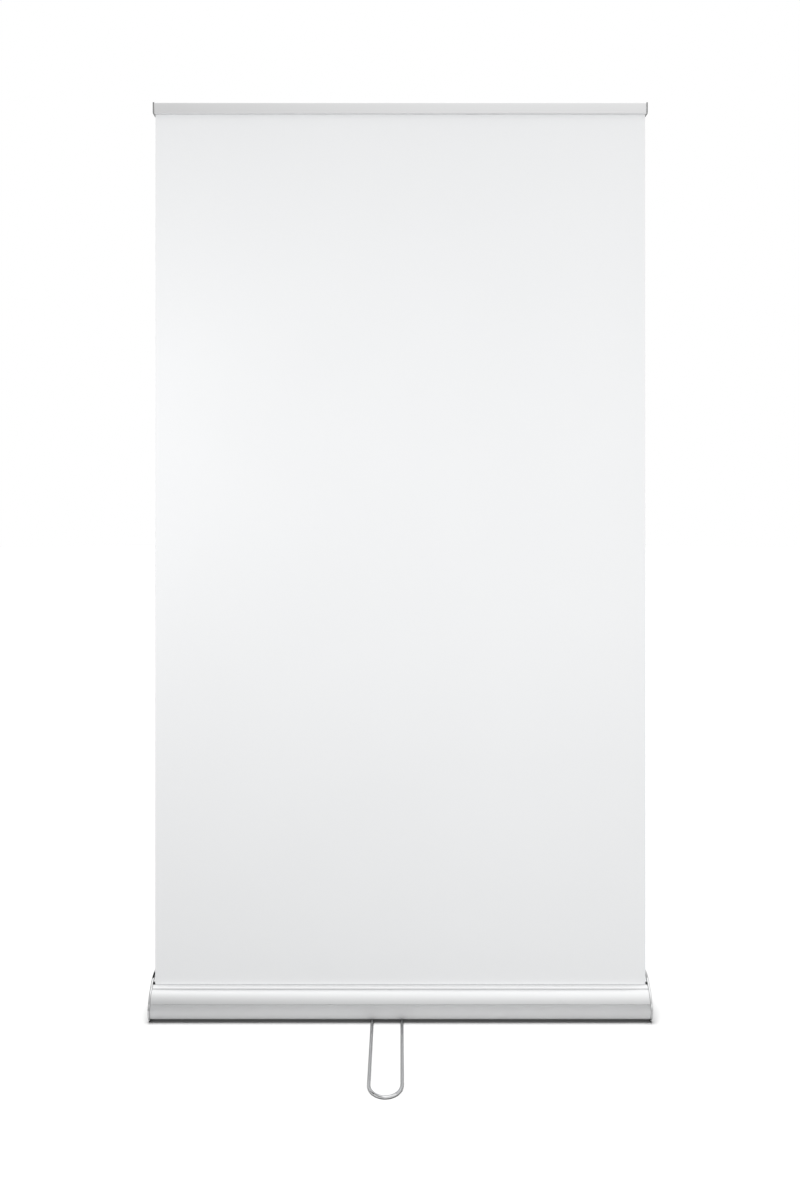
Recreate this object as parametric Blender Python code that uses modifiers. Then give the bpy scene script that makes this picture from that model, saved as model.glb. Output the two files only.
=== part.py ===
"""Double-sided roll-up banner stand, in metres, with +Z up.

The origin is on the floor under the middle of the base. One graphic faces -Y, the front, and the
other +Y. Left is -X. A section is a list of (y, z) points, drawn for the rear half and mirrored
for the front one.
"""

import math

import bmesh
import bpy

STAND_NAME = "double_sided_banner_stand"
CUTTERS_NAME = "stand_cutters"

# Clearances
SEAT_GAP = 0.0003
SLIDE_GAP = 0.0003
RUNNING_GAP = 0.0003
SWIVEL_GAP = 0.001

# Graphics
GRAPHIC_WIDTH = 1.200
VISIBLE_HEIGHT = 2.128
SHEET_THICKNESS = 0.0005
ROLL_BUILD_UP = 0.0015
RAIL_BANNER_Y = 0.012

# Base section
SOLE_HALF_DEPTH = 0.077
SOLE_Z = 0.0078
SOLE_WIDTH = 0.0045
BULGE_HALF_DEPTH = 0.0875
BULGE_Z = 0.029
GROOVE_HALF_DEPTH = 0.0802
GROOVE_Z = 0.0432
GROOVE_WIDTH = 0.001
SHOULDER_HALF_DEPTH = 0.0565
SHOULDER_Z = 0.0715
RIDGE_Z = 0.0965
COVER_CROWN = 0.0035
FLOOR_HALF_DEPTH = 0.069
FLOOR_Z = 0.0145
TRAY_WALL = 0.0018
COVER_WALL = 0.0015
SLOT_Y = 0.045
SLOT_Z = 0.078
SLOT_WIDTH = 0.002
SLOT_LIP = 0.009

# End plates and rubber feet
PLATE_THICKNESS = 0.005
PLATE_OVERHANG = 0.002
END_SPACE = 0.005
PAD_LENGTH = 0.008
PAD_DEPTH = 0.020
PAD_HEIGHT = 0.004
PAD_INSET = 0.0005
PAD_EDGE = 0.0006

# Screws and the ports they thread into
SCREW_RADIUS = 0.0015
SCREW_HEAD_RADIUS = 0.0031
SCREW_HEAD_DEPTH = 0.0016
SCREW_LENGTH = 0.018
PORT_RADIUS = 0.0034
PORT_SINK = 0.0008
PORT_INSET = 0.0005
COVER_PORT_SHARE = 0.2

# Rollers
ROLLER_Y = 0.045
ROLLER_Z = 0.042
ROLLER_RADIUS = 0.019
ROLLER_WALL = 0.0015
AXLE_RADIUS = 0.004
AXLE_REACH = 0.022
AXLE_FLANGE_RADIUS = 0.008
AXLE_FLANGE = 0.002
PLUG_DEPTH = 0.020
ARBOR_REACH = 0.300
ARBOR_DISC_RADIUS = 0.0135
ARBOR_DISC = 0.004
SPRING_RADIUS = 0.0115
SPRING_WIRE = 0.0018
SPRING_TURNS = 12

# Pole
POLE_RADIUS = 0.0125
POLE_WALL = 0.0012
POLE_OVERLAP = 0.060
COLLAR_WALL = 0.0022
COLLAR_GRIP = 0.030
COLLAR_LIP = 0.008
COLLAR_EDGE = 0.0008

# Pole socket
SOCKET_WALL = 0.0022
SOCKET_FLOOR = 0.0034
SOCKET_FOOT_RADIUS = 0.023
SOCKET_FOOT = 0.003
SOCKET_RIM_WIDTH = 0.0035
SOCKET_RIM = 0.0025
SOCKET_SCREW_RING = 0.0185
SOCKET_SCREW_ANGLES = (-45, 135)
SOCKET_SCREW_BITE = 0.0020

# Top rail
RAIL_HALF_DEPTH = 0.029
RAIL_HEIGHT = 0.0255
RAIL_WALL = 0.0015
RAIL_LIP = 0.008
RAIL_CORNER = 0.003
CLAMP_HEIGHT = 0.016
CAP_THICKNESS = 0.0025
CAP_OVERHANG = 0.0015
CAP_CORNER = 0.004
CAP_SPIGOT_LENGTH = 0.012
CAP_SPIGOT_HEIGHT = 0.005
HEAD_LENGTH = 0.040
HEAD_NECK = 0.008
HEAD_SPIGOT = 0.030

# Wire feet
PIVOT_X = 0.032
WIRE_RADIUS = 0.0035
LOOP_HALF_WIDTH = 0.036
LOOP_END_Y = 0.445
BLOCK_END = 0.008
BLOCK_DEPTH = 0.024
BLOCK_CORNER = 0.004
PIVOT_RADIUS = 0.003
PIVOT_HEAD_RADIUS = 0.006
PIVOT_HEAD = 0.002

# Smoothness
TURN_STEPS = 24
SCREW_STEPS = 12
ARC_SEGMENTS = 6
RIDGE_SEGMENTS = 12
BEND_SEGMENTS = 3
LOOP_SEGMENTS = 14
SPRING_POINTS = 8
SHARP_ANGLE = math.radians(35)
MERGE_DISTANCE = 0.00001
CUT_MARGIN = 0.001
AXIS_MARK = 0.05

# Sizes worked out from the driving ones
PLATE_INNER_X = GRAPHIC_WIDTH / 2 + END_SPACE
PLATE_OUTER_X = PLATE_INNER_X + PLATE_THICKNESS
PLATE_MIDDLE_X = (PLATE_INNER_X + PLATE_OUTER_X) / 2
BODY_LENGTH = 2 * (PLATE_INNER_X - SEAT_GAP)
PLATE_BOTTOM_Z = PAD_HEIGHT + SEAT_GAP
FLOOR_TOP_Z = FLOOR_Z + TRAY_WALL
SLOT_INNER_Y = SLOT_Y - SLOT_WIDTH / 2
SLOT_OUTER_Y = SLOT_Y + SLOT_WIDTH / 2
RAIL_Z = SLOT_Z + VISIBLE_HEIGHT
ROLL_INNER = ROLLER_RADIUS + SEAT_GAP
ROLL_RADIUS = ROLL_INNER + ROLL_BUILD_UP
TUBE_BORE = ROLLER_RADIUS - ROLLER_WALL
AXLE_FLANGE_X = PLATE_INNER_X - SEAT_GAP - AXLE_FLANGE
MID_RADIUS = POLE_RADIUS - POLE_WALL - SLIDE_GAP
UPPER_RADIUS = MID_RADIUS - POLE_WALL - SLIDE_GAP
SOCKET_BORE = POLE_RADIUS + SEAT_GAP
SOCKET_RADIUS = SOCKET_BORE + SOCKET_WALL
SOCKET_BOTTOM_Z = FLOOR_TOP_Z + SEAT_GAP
POLE_BOTTOM_Z = SOCKET_BOTTOM_Z + SOCKET_FLOOR + SEAT_GAP
POLE_TOP_Z = RAIL_Z - HEAD_NECK
TUBE_LENGTH = (POLE_TOP_Z - POLE_BOTTOM_Z + 2 * POLE_OVERLAP) / 3
LOWER_TOP_Z = POLE_BOTTOM_Z + TUBE_LENGTH
MID_BOTTOM_Z = LOWER_TOP_Z - POLE_OVERLAP
MID_TOP_Z = MID_BOTTOM_Z + TUBE_LENGTH
WIRE_Z = WIRE_RADIUS
BLOCK_BOTTOM_Z = 2 * WIRE_RADIUS + SEAT_GAP
BLOCK_TOP_Z = FLOOR_Z - SEAT_GAP
BLOCK_HALF_LENGTH = LOOP_HALF_WIDTH + BLOCK_END
BLOCK_CORNER_REACH = math.hypot(BLOCK_HALF_LENGTH - BLOCK_CORNER, BLOCK_DEPTH / 2 - BLOCK_CORNER)
PIVOT_Y = FLOOR_HALF_DEPTH - BLOCK_CORNER_REACH - BLOCK_CORNER - SWIVEL_GAP
PIVOT_HEAD_TOP_Z = BLOCK_BOTTOM_Z + PIVOT_HEAD + SEAT_GAP
RIB_OUTER = RAIL_BANNER_Y - SHEET_THICKNESS / 2 - SEAT_GAP
RIB_INNER = RIB_OUTER - RAIL_WALL
FACE_INNER = RAIL_HALF_DEPTH - RAIL_WALL
CLAMP_INNER = RAIL_BANNER_Y + SHEET_THICKNESS / 2 + SEAT_GAP
CLAMP_OUTER = FACE_INNER - SEAT_GAP

# A section lies in local X and Y, and this turns it to face along world X
SECTION_TURN = (math.pi / 2, 0, math.pi / 2)
ALONG_X = (0, math.pi / 2, 0)
AGAINST_X = (0, -math.pi / 2, 0)
TURNED_BACK = (0, 0, math.pi)
UPSIDE_DOWN = (math.pi, 0, 0)


# Geometry of sections

def arc_through(start, middle, end, segments):
    """Points on the circular arc from start to end that passes through middle."""
    ax, ay = start
    bx, by = middle
    cx, cy = end
    twice_area = 2 * (ax * (by - cy) + bx * (cy - ay) + cx * (ay - by))
    a2 = ax * ax + ay * ay
    b2 = bx * bx + by * by
    c2 = cx * cx + cy * cy
    ox = (a2 * (by - cy) + b2 * (cy - ay) + c2 * (ay - by)) / twice_area
    oy = (a2 * (cx - bx) + b2 * (ax - cx) + c2 * (bx - ax)) / twice_area
    radius = math.hypot(ax - ox, ay - oy)
    first = math.atan2(ay - oy, ax - ox)
    sweep = math.remainder(math.atan2(cy - oy, cx - ox) - first, 2 * math.pi)
    halfway = math.remainder(math.atan2(by - oy, bx - ox) - first, 2 * math.pi)
    if sweep * halfway < 0:
        sweep -= math.copysign(2 * math.pi, sweep)
    points = []
    for i in range(segments + 1):
        angle = first + sweep * i / segments
        points.append((ox + radius * math.cos(angle), oy + radius * math.sin(angle)))
    return points


def bulged(start, end, crown, segments):
    """An arc from start to end that stands out by crown to the right of its chord."""
    dy = end[0] - start[0]
    dz = end[1] - start[1]
    chord = math.hypot(dy, dz)
    middle = (
        (start[0] + end[0]) / 2 + crown * dz / chord,
        (start[1] + end[1]) / 2 - crown * dy / chord,
    )
    return arc_through(start, middle, end, segments)


def mirrored(points):
    """The front half of a section, walked so that its outside stays on the same hand."""
    return [(-y, z) for y, z in reversed(points)]


def normals(points):
    """The unit normal at each point of an open section, to the right of its direction."""
    found = []
    for i in range(len(points)):
        before = points[max(i - 1, 0)]
        after = points[min(i + 1, len(points) - 1)]
        length = math.hypot(after[0] - before[0], after[1] - before[1])
        found.append(((after[1] - before[1]) / length, -(after[0] - before[0]) / length))
    return found


def offset(points, distance):
    """The open section moved to its right by distance."""
    return [
        (y + distance * ny, z + distance * nz)
        for (y, z), (ny, nz) in zip(points, normals(points))
    ]


def rounded_rectangle(half_width, bottom, top, corner, segments):
    """The outline of a rectangle about the middle plane, with round corners."""
    outline = []
    for turn, (y, z) in enumerate((
        (half_width - corner, top - corner),
        (corner - half_width, top - corner),
        (corner - half_width, bottom + corner),
        (half_width - corner, bottom + corner),
    )):
        for i in range(segments + 1):
            angle = math.pi / 2 * (turn + i / segments)
            outline.append((y + corner * math.cos(angle), z + corner * math.sin(angle)))
    return outline


# Materials, collections and placing

def make_material(name, colour, roughness, metallic):
    material = bpy.data.materials.new(name)
    material.use_nodes = True
    shader = material.node_tree.nodes["Principled BSDF"]
    shader.inputs["Base Color"].default_value = (*colour, 1)
    shader.inputs["Roughness"].default_value = roughness
    shader.inputs["Metallic"].default_value = metallic
    material.diffuse_color = (*colour, 1)
    return material


def make_collection(name):
    collection = bpy.data.collections.new(name)
    bpy.context.scene.collection.children.link(collection)
    return collection


def place(obj, location, rotation=(0, 0, 0), parent=None):
    obj.location = location
    obj.rotation_euler = rotation
    obj.parent = parent
    return obj


def make_axis(name, location):
    """An empty on a joint's axis, which carries the pieces that move together."""
    axis = bpy.data.objects.new(name, None)
    axis.empty_display_size = AXIS_MARK
    stand.objects.link(axis)
    return place(axis, location)


def add_object(name, data, material):
    obj = bpy.data.objects.new(name, data)
    if material is None:
        cutters.objects.link(obj)
        obj.hide_render = True
        obj.display_type = "WIRE"
    else:
        stand.objects.link(obj)
        data.materials.append(material)
    return obj


# Shapes: a piece without a material is a cutter

def section_shell(name, section, wall, material, length, lean=-1):
    """A sheet bent along a section whose outside is on its right.

    It is thickened inwards, or to both sides alike where lean is 0.
    """
    mesh = bpy.data.meshes.new(name)
    bm = bmesh.new()
    line = [bm.verts.new((-length / 2, y, z)) for y, z in section]
    edges = [bm.edges.new(pair) for pair in zip(line, line[1:])]
    swept = bmesh.ops.extrude_edge_only(bm, edges=edges)
    moved = [item for item in swept["geom"] if isinstance(item, bmesh.types.BMVert)]
    bmesh.ops.translate(bm, verts=moved, vec=(length, 0, 0))
    bm.normal_update()
    outwards = section[1][1] - section[0][1], section[0][0] - section[1][0]
    first = edges[0].link_faces[0].normal
    if first.y * outwards[0] + first.z * outwards[1] < 0:
        bmesh.ops.reverse_faces(bm, faces=bm.faces)
    bm.to_mesh(mesh)
    bm.free()
    obj = add_object(name, mesh, material)
    solidify = obj.modifiers.new("wall", "SOLIDIFY")
    solidify.thickness = wall
    solidify.offset = lean
    solidify.use_even_offset = True
    return obj


def flat_piece(name, outline, thickness, material):
    """A flat outline in local X and Y with its thickness along local Z, as a mesh."""
    curve = bpy.data.curves.new(name + "_outline", "CURVE")
    curve.dimensions = "2D"
    curve.fill_mode = "BOTH"
    curve.extrude = thickness / 2
    spline = curve.splines.new("POLY")
    spline.points.add(len(outline) - 1)
    for point, (x, y) in zip(spline.points, outline):
        point.co = (x, y, 0, 1)
    spline.use_cyclic_u = True
    return welded_mesh(name, curve, material)


def welded_mesh(name, curve, material):
    """A mesh object made from a curve, with its caps welded on."""
    source = bpy.data.objects.new(name + "_curve", curve)
    bpy.context.scene.collection.objects.link(source)
    evaluated = source.evaluated_get(bpy.context.evaluated_depsgraph_get())
    mesh = bpy.data.meshes.new_from_object(evaluated)
    bpy.data.objects.remove(source)
    mesh.name = name
    bm = bmesh.new()
    bm.from_mesh(mesh)
    bmesh.ops.remove_doubles(bm, verts=bm.verts, dist=MERGE_DISTANCE)
    bmesh.ops.recalc_face_normals(bm, faces=bm.faces)
    bm.to_mesh(mesh)
    bm.free()
    mesh.shade_smooth()
    mesh.set_sharp_from_angle(angle=SHARP_ANGLE)
    return add_object(name, mesh, material)


def turned(name, profile, material, steps=TURN_STEPS, closed=False):
    """A profile of (radius, height) points, run down its outer side, turned round local Z."""
    mesh = bpy.data.meshes.new(name)
    bm = bmesh.new()
    line = [bm.verts.new((radius, 0, height)) for radius, height in profile]
    for pair in zip(line, line[1:]):
        bm.edges.new(pair)
    if closed:
        bm.edges.new((line[-1], line[0]))
    bm.to_mesh(mesh)
    bm.free()
    obj = add_object(name, mesh, material)
    screw = obj.modifiers.new("turn", "SCREW")
    screw.steps = steps
    screw.render_steps = steps
    screw.use_merge_vertices = True
    screw.merge_threshold = MERGE_DISTANCE
    return obj


def pipe(name, outer, inner, low, high, material):
    """A plain tube round local Z."""
    profile = [(outer, high), (outer, low), (inner, low), (inner, high)]
    return turned(name, profile, material, closed=True)


def rod(name, radius, low, high, material, steps=TURN_STEPS):
    """A plain cylinder round local Z."""
    profile = [(0, high), (radius, high), (radius, low), (0, low)]
    return turned(name, profile, material, steps)


def block(name, size, material, edge=0, upright_only=False):
    """A box about its centre, with its edges or only its upright ones rounded."""
    mesh = bpy.data.meshes.new(name)
    bm = bmesh.new()
    bmesh.ops.create_cube(bm, size=1)
    bmesh.ops.scale(bm, vec=size, verts=bm.verts)
    if upright_only:
        upright = [e for e in bm.edges if abs(e.verts[0].co.z - e.verts[1].co.z) > size[2] / 2]
        bmesh.ops.bevel(
            bm, geom=upright, offset=edge, segments=BEND_SEGMENTS, profile=0.5, affect="EDGES"
        )
    bm.to_mesh(mesh)
    bm.free()
    obj = add_object(name, mesh, material)
    if edge and not upright_only:
        bevel = obj.modifiers.new("edges", "BEVEL")
        bevel.width = edge
        bevel.segments = 2
    return obj


def wire(name, points, radius, material, resolution):
    """A round wire along a line of points, with closed ends."""
    curve = bpy.data.curves.new(name + "_path", "CURVE")
    curve.dimensions = "3D"
    curve.bevel_depth = radius
    curve.bevel_resolution = resolution
    curve.use_fill_caps = True
    spline = curve.splines.new("POLY")
    spline.points.add(len(points) - 1)
    for point, (x, y, z) in zip(spline.points, points):
        point.co = (x, y, z, 1)
    return welded_mesh(name, curve, material)


def combine(obj, other, operation):
    """Joins another solid to a piece, or cuts it out."""
    modifier = obj.modifiers.new(other.name, "BOOLEAN")
    modifier.operation = operation
    modifier.solver = "EXACT"
    modifier.object = other


def countersunk(name, length, material, gap=0.0):
    """A countersunk screw with its head's face at local height 0, or its clearance hole."""
    head = SCREW_HEAD_RADIUS + gap
    shank = SCREW_RADIUS + gap
    top = gap
    profile = [
        (0, top),
        (head, top),
        (head, -gap),
        (shank, -SCREW_HEAD_DEPTH - gap),
        (shank, -length),
        (0, -length),
    ]
    if material:
        del profile[2]
    return turned(name, profile, material, SCREW_STEPS)


# Base

def lower_wall():
    """The rear outer side of the tray, from its sole up to the groove."""
    top = (GROOVE_HALF_DEPTH, GROOVE_Z - GROOVE_WIDTH / 2)
    return arc_through((SOLE_HALF_DEPTH, SOLE_Z), (BULGE_HALF_DEPTH, BULGE_Z), top, ARC_SEGMENTS)


def cover_crown():
    """The rear outer side of the cover, from the groove up to the shoulder."""
    bottom = (GROOVE_HALF_DEPTH, GROOVE_Z + GROOVE_WIDTH / 2)
    shoulder = (SHOULDER_HALF_DEPTH, SHOULDER_Z)
    return bulged(bottom, shoulder, COVER_CROWN, ARC_SEGMENTS)


def tray_port():
    """The screw port inside the bulge of the tray."""
    return BULGE_HALF_DEPTH - TRAY_WALL - PORT_RADIUS + PORT_SINK, BULGE_Z


def cover_port():
    """The screw port inside a cover, near its lower edge."""
    crown = cover_crown()
    depth = COVER_WALL + PORT_RADIUS - PORT_SINK
    inner = offset(crown, -depth)
    return inner[round(COVER_PORT_SHARE * ARC_SEGMENTS)]


def ridge_port():
    """The screw port under the ridge."""
    return 0, RIDGE_Z - COVER_WALL - PORT_RADIUS + PORT_SINK


def add_port(shell, name, y, z):
    """Joins a screw port that runs along a shell."""
    half = BODY_LENGTH / 2 - PORT_INSET
    port = pipe(name, PORT_RADIUS, SCREW_RADIUS + SEAT_GAP, -half, half, None)
    place(port, (0, y, z), ALONG_X)
    combine(shell, port, "UNION")


def make_tray():
    rear = [
        (FLOOR_HALF_DEPTH, FLOOR_Z),
        (SOLE_HALF_DEPTH - SOLE_WIDTH, SOLE_Z),
        *lower_wall(),
    ]
    tray = section_shell(
        "base_tray", mirrored(rear) + rear, TRAY_WALL, aluminium, BODY_LENGTH
    )
    y, z = tray_port()
    add_port(tray, "rear_tray_port", y, z)
    add_port(tray, "front_tray_port", -y, z)
    through = (FLOOR_Z - CUT_MARGIN, FLOOR_TOP_Z + CUT_MARGIN)
    for side, name in ((-1, "front"), (1, "rear")):
        hole = rod(name + "_pivot_hole", PIVOT_RADIUS + SEAT_GAP, *through, None)
        place(hole, (side * PIVOT_X, side * PIVOT_Y, 0))
        combine(tray, hole, "DIFFERENCE")
    for i, (x, y) in enumerate(socket_screw_places()):
        hole = countersunk(f"socket_screw_hole_{i + 1}", 2 * TRAY_WALL, None, SEAT_GAP)
        place(hole, (x, y, FLOOR_Z), UPSIDE_DOWN)
        combine(tray, hole, "DIFFERENCE")


def make_side_cover(name, side):
    """The convex cover of one side, with the flange that slopes up to the slot."""
    section = cover_crown() + [(SLOT_OUTER_Y, SLOT_Z)]
    if side < 0:
        section = mirrored(section)
    cover = section_shell(name, section, COVER_WALL, cover_aluminium, BODY_LENGTH)
    y, z = cover_port()
    add_port(cover, name + "_port", side * y, z)


def make_centre_cover():
    """The domed cover between the slots, with a lip each side that the graphic runs over."""
    run_y, run_z = feed_direction()
    lip = (SLOT_INNER_Y - SLOT_LIP * run_y, SLOT_Z - SLOT_LIP * run_z)
    edge = (SLOT_INNER_Y, SLOT_Z)
    dome = arc_through(edge, (0, RIDGE_Z), (-SLOT_INNER_Y, SLOT_Z), RIDGE_SEGMENTS)
    section = [lip] + dome + mirrored([lip])
    cover = section_shell("centre_cover", section, COVER_WALL, cover_aluminium, BODY_LENGTH)
    y, z = ridge_port()
    add_port(cover, "centre_cover_port", y, z)
    hole = rod("pole_hole", SOCKET_RADIUS + SEAT_GAP, SHOULDER_Z, RIDGE_Z + CUT_MARGIN, None)
    combine(cover, hole, "DIFFERENCE")


def end_screw_places():
    """Where the five screws of an end plate sit, with a name for each."""
    tray_y, tray_z = tray_port()
    cover_y, cover_z = cover_port()
    ridge_y, high_z = ridge_port()
    return (
        ("front_low", -tray_y, tray_z),
        ("rear_low", tray_y, tray_z),
        ("front_high", -cover_y, cover_z),
        ("rear_high", cover_y, cover_z),
        ("ridge", ridge_y, high_z),
    )


def make_end_plate(name, side):
    """An end plate, its outline a little outside the covers, with its screws."""
    outside = lower_wall()[:-1] + cover_crown()[1:] + [(SLOT_OUTER_Y, SLOT_Z)]
    half = offset(outside, PLATE_OVERHANG)[:-1]
    crest = (0, RIDGE_Z + PLATE_OVERHANG)
    shoulder = half[-1]
    top = arc_through(shoulder, crest, (-shoulder[0], shoulder[1]), RIDGE_SEGMENTS)
    corner = (half[0][0], PLATE_BOTTOM_Z)
    outline = [corner] + half + top[1:-1] + mirrored([corner] + half)
    plate = flat_piece(name, outline, PLATE_THICKNESS, chrome)
    place(plate, (side * PLATE_MIDDLE_X, 0, 0), SECTION_TURN)
    outward = ALONG_X if side > 0 else AGAINST_X
    word = "right" if side > 0 else "left"
    for place_name, y, z in end_screw_places():
        hole = countersunk(f"{word}_{place_name}_hole", SCREW_LENGTH, None, SEAT_GAP)
        place(hole, (side * PLATE_OUTER_X, y, z), outward)
        combine(plate, hole, "DIFFERENCE")
        screw = countersunk(f"end_screw_{word}_{place_name}", SCREW_LENGTH, steel)
        place(screw, (side * PLATE_OUTER_X, y, z), outward)
    for roller_side, roller_word in ((-1, "front"), (1, "rear")):
        hole = rod(
            f"{word}_{roller_word}_axle_hole",
            AXLE_RADIUS + SEAT_GAP,
            -2 * PLATE_THICKNESS,
            PLATE_THICKNESS,
            None,
        )
        place(hole, (side * PLATE_OUTER_X, roller_side * ROLLER_Y, ROLLER_Z), outward)
        combine(plate, hole, "DIFFERENCE")


def make_rubber_feet():
    x = PLATE_OUTER_X - PAD_INSET - PAD_LENGTH / 2
    y = SOLE_HALF_DEPTH - PAD_DEPTH / 2
    for x_side, x_word in ((-1, "left"), (1, "right")):
        for y_side, y_word in ((-1, "front"), (1, "rear")):
            pad = block(
                f"rubber_foot_{y_word}_{x_word}",
                (PAD_LENGTH, PAD_DEPTH, PAD_HEIGHT),
                rubber,
                PAD_EDGE,
            )
            place(pad, (x_side * x, y_side * y, PAD_HEIGHT / 2))


# Rollers and graphics

def feed_line():
    """The rear sheet's middle line inside the base, from the roll to the slot."""
    reach = ROLL_RADIUS + SEAT_GAP + SHEET_THICKNESS / 2
    top = (SLOT_Y, SLOT_Z - SEAT_GAP)
    dy = top[0] - ROLLER_Y
    dz = top[1] - ROLLER_Z
    angle = math.atan2(dz, dy) + math.acos(reach / math.hypot(dy, dz))
    foot = (ROLLER_Y + reach * math.cos(angle), ROLLER_Z + reach * math.sin(angle))
    return foot, top


def feed_direction():
    """The unit direction in which the sheet climbs to the slot."""
    foot, top = feed_line()
    length = math.dist(foot, top)
    return (top[0] - foot[0]) / length, (top[1] - foot[1]) / length


def make_graphic(word, side):
    """The part of a graphic that shows, and its run inside the base."""
    clamp_top = RAIL_Z + RAIL_WALL + SEAT_GAP + CLAMP_HEIGHT
    shown = [(SLOT_Y, SLOT_Z), (RAIL_BANNER_Y, RAIL_Z), (RAIL_BANNER_Y, clamp_top)]
    inside = list(feed_line())
    if side < 0:
        shown = mirrored(shown)
        inside = mirrored(inside)
    section_shell(word + "_banner", shown, SHEET_THICKNESS, film, GRAPHIC_WIDTH, lean=0)
    section_shell(word + "_banner_feed", inside, SHEET_THICKNESS, film, GRAPHIC_WIDTH, lean=0)


def make_plug(name, axis, side):
    """A roller's end plug, with a flange outside the tube and a bore for its pin."""
    face = AXLE_FLANGE_X - SEAT_GAP
    inner_face = GRAPHIC_WIDTH / 2 + SEAT_GAP
    spigot = TUBE_BORE - SEAT_GAP
    bore = AXLE_RADIUS + RUNNING_GAP
    profile = [
        (ROLLER_RADIUS, face),
        (ROLLER_RADIUS, inner_face),
        (spigot, inner_face),
        (spigot, inner_face - PLUG_DEPTH),
        (bore, inner_face - PLUG_DEPTH),
        (bore, face),
    ]
    plug = turned(name, profile, grey_plastic, closed=True)
    place(plug, (0, 0, 0), ALONG_X if side > 0 else AGAINST_X, axis)


def make_pin(name, y, side, reach, disc):
    """A pin that stands in an end plate, flush outside, with a flange against its inner face."""
    tip = PLATE_INNER_X - SEAT_GAP - reach
    profile = [
        (0, PLATE_OUTER_X),
        (AXLE_RADIUS, PLATE_OUTER_X),
        (AXLE_RADIUS, AXLE_FLANGE_X + AXLE_FLANGE),
        (AXLE_FLANGE_RADIUS, AXLE_FLANGE_X + AXLE_FLANGE),
        (AXLE_FLANGE_RADIUS, AXLE_FLANGE_X),
        (AXLE_RADIUS, AXLE_FLANGE_X),
    ]
    if disc:
        profile += [
            (AXLE_RADIUS, tip + ARBOR_DISC),
            (ARBOR_DISC_RADIUS, tip + ARBOR_DISC),
            (ARBOR_DISC_RADIUS, tip),
            (0, tip),
        ]
    else:
        profile += [(AXLE_RADIUS, tip), (0, tip)]
    pin = turned(name, profile, steel)
    place(pin, (0, y, ROLLER_Z), ALONG_X if side > 0 else AGAINST_X)


def make_spring(name, y):
    """The torsion spring between the arbor's disc and the driven plug."""
    low = PLATE_INNER_X - SEAT_GAP - ARBOR_REACH + ARBOR_DISC + SEAT_GAP + SPRING_WIRE / 2
    high = GRAPHIC_WIDTH / 2 - PLUG_DEPTH - SPRING_WIRE / 2
    count = SPRING_TURNS * SPRING_POINTS
    points = []
    for i in range(count + 1):
        angle = 2 * math.pi * i / SPRING_POINTS
        x = low + (high - low) * i / count
        points.append((x, SPRING_RADIUS * math.cos(angle), SPRING_RADIUS * math.sin(angle)))
    pitch = (high - low) / SPRING_TURNS
    print(f"{name}: {SPRING_TURNS} turns, least gap {pitch - SPRING_WIRE:.4f} m")
    spring = wire(name, points, SPRING_WIRE / 2, spring_steel, 1)
    place(spring, (0, y, ROLLER_Z))


def make_roller(word, side):
    y = side * ROLLER_Y
    axis = make_axis(word + "_roller_axis", (0, y, ROLLER_Z))
    half = GRAPHIC_WIDTH / 2
    tube = pipe(word + "_roller_tube", ROLLER_RADIUS, TUBE_BORE, -half, half, aluminium)
    place(tube, (0, 0, 0), ALONG_X, axis)
    roll = pipe(word + "_graphic_roll", ROLL_RADIUS, ROLL_INNER, -half, half, film)
    place(roll, (0, 0, 0), ALONG_X, axis)
    make_plug(word + "_idler_plug", axis, -1)
    make_plug(word + "_spring_plug", axis, 1)
    make_pin(word + "_axle_pin", y, -1, AXLE_REACH, False)
    make_pin(word + "_spring_arbor", y, 1, ARBOR_REACH, True)
    make_spring(word + "_torsion_spring", y)


# Pole

def socket_screw_places():
    return [
        (
            SOCKET_SCREW_RING * math.cos(math.radians(angle)),
            SOCKET_SCREW_RING * math.sin(math.radians(angle)),
        )
        for angle in SOCKET_SCREW_ANGLES
    ]


def make_socket():
    """The cup that the pole stands in, with a foot on the floor and a rim over the cover."""
    foot_top = SOCKET_BOTTOM_Z + SOCKET_FOOT
    rim_bottom = RIDGE_Z + SEAT_GAP
    rim_top = rim_bottom + SOCKET_RIM
    floor = SOCKET_BOTTOM_Z + SOCKET_FLOOR
    profile = [
        (SOCKET_BORE, rim_top),
        (SOCKET_RADIUS + SOCKET_RIM_WIDTH, rim_top),
        (SOCKET_RADIUS + SOCKET_RIM_WIDTH, rim_bottom),
        (SOCKET_RADIUS, rim_bottom),
        (SOCKET_RADIUS, foot_top),
        (SOCKET_FOOT_RADIUS, foot_top),
        (SOCKET_FOOT_RADIUS, SOCKET_BOTTOM_Z),
        (0, SOCKET_BOTTOM_Z),
        (0, floor),
        (SOCKET_BORE, floor),
    ]
    socket = turned("pole_socket", profile, grey_plastic, closed=True)
    bite = SOCKET_BOTTOM_Z + SOCKET_SCREW_BITE
    for i, (x, y) in enumerate(socket_screw_places()):
        hole = rod(
            f"socket_thread_{i + 1}",
            SCREW_RADIUS + SEAT_GAP,
            SOCKET_BOTTOM_Z - CUT_MARGIN,
            bite + SEAT_GAP,
            None,
            SCREW_STEPS,
        )
        place(hole, (x, y, 0))
        combine(socket, hole, "DIFFERENCE")
        screw = countersunk(f"socket_screw_{i + 1}", bite - FLOOR_Z, steel)
        place(screw, (x, y, FLOOR_Z), UPSIDE_DOWN)


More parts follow.
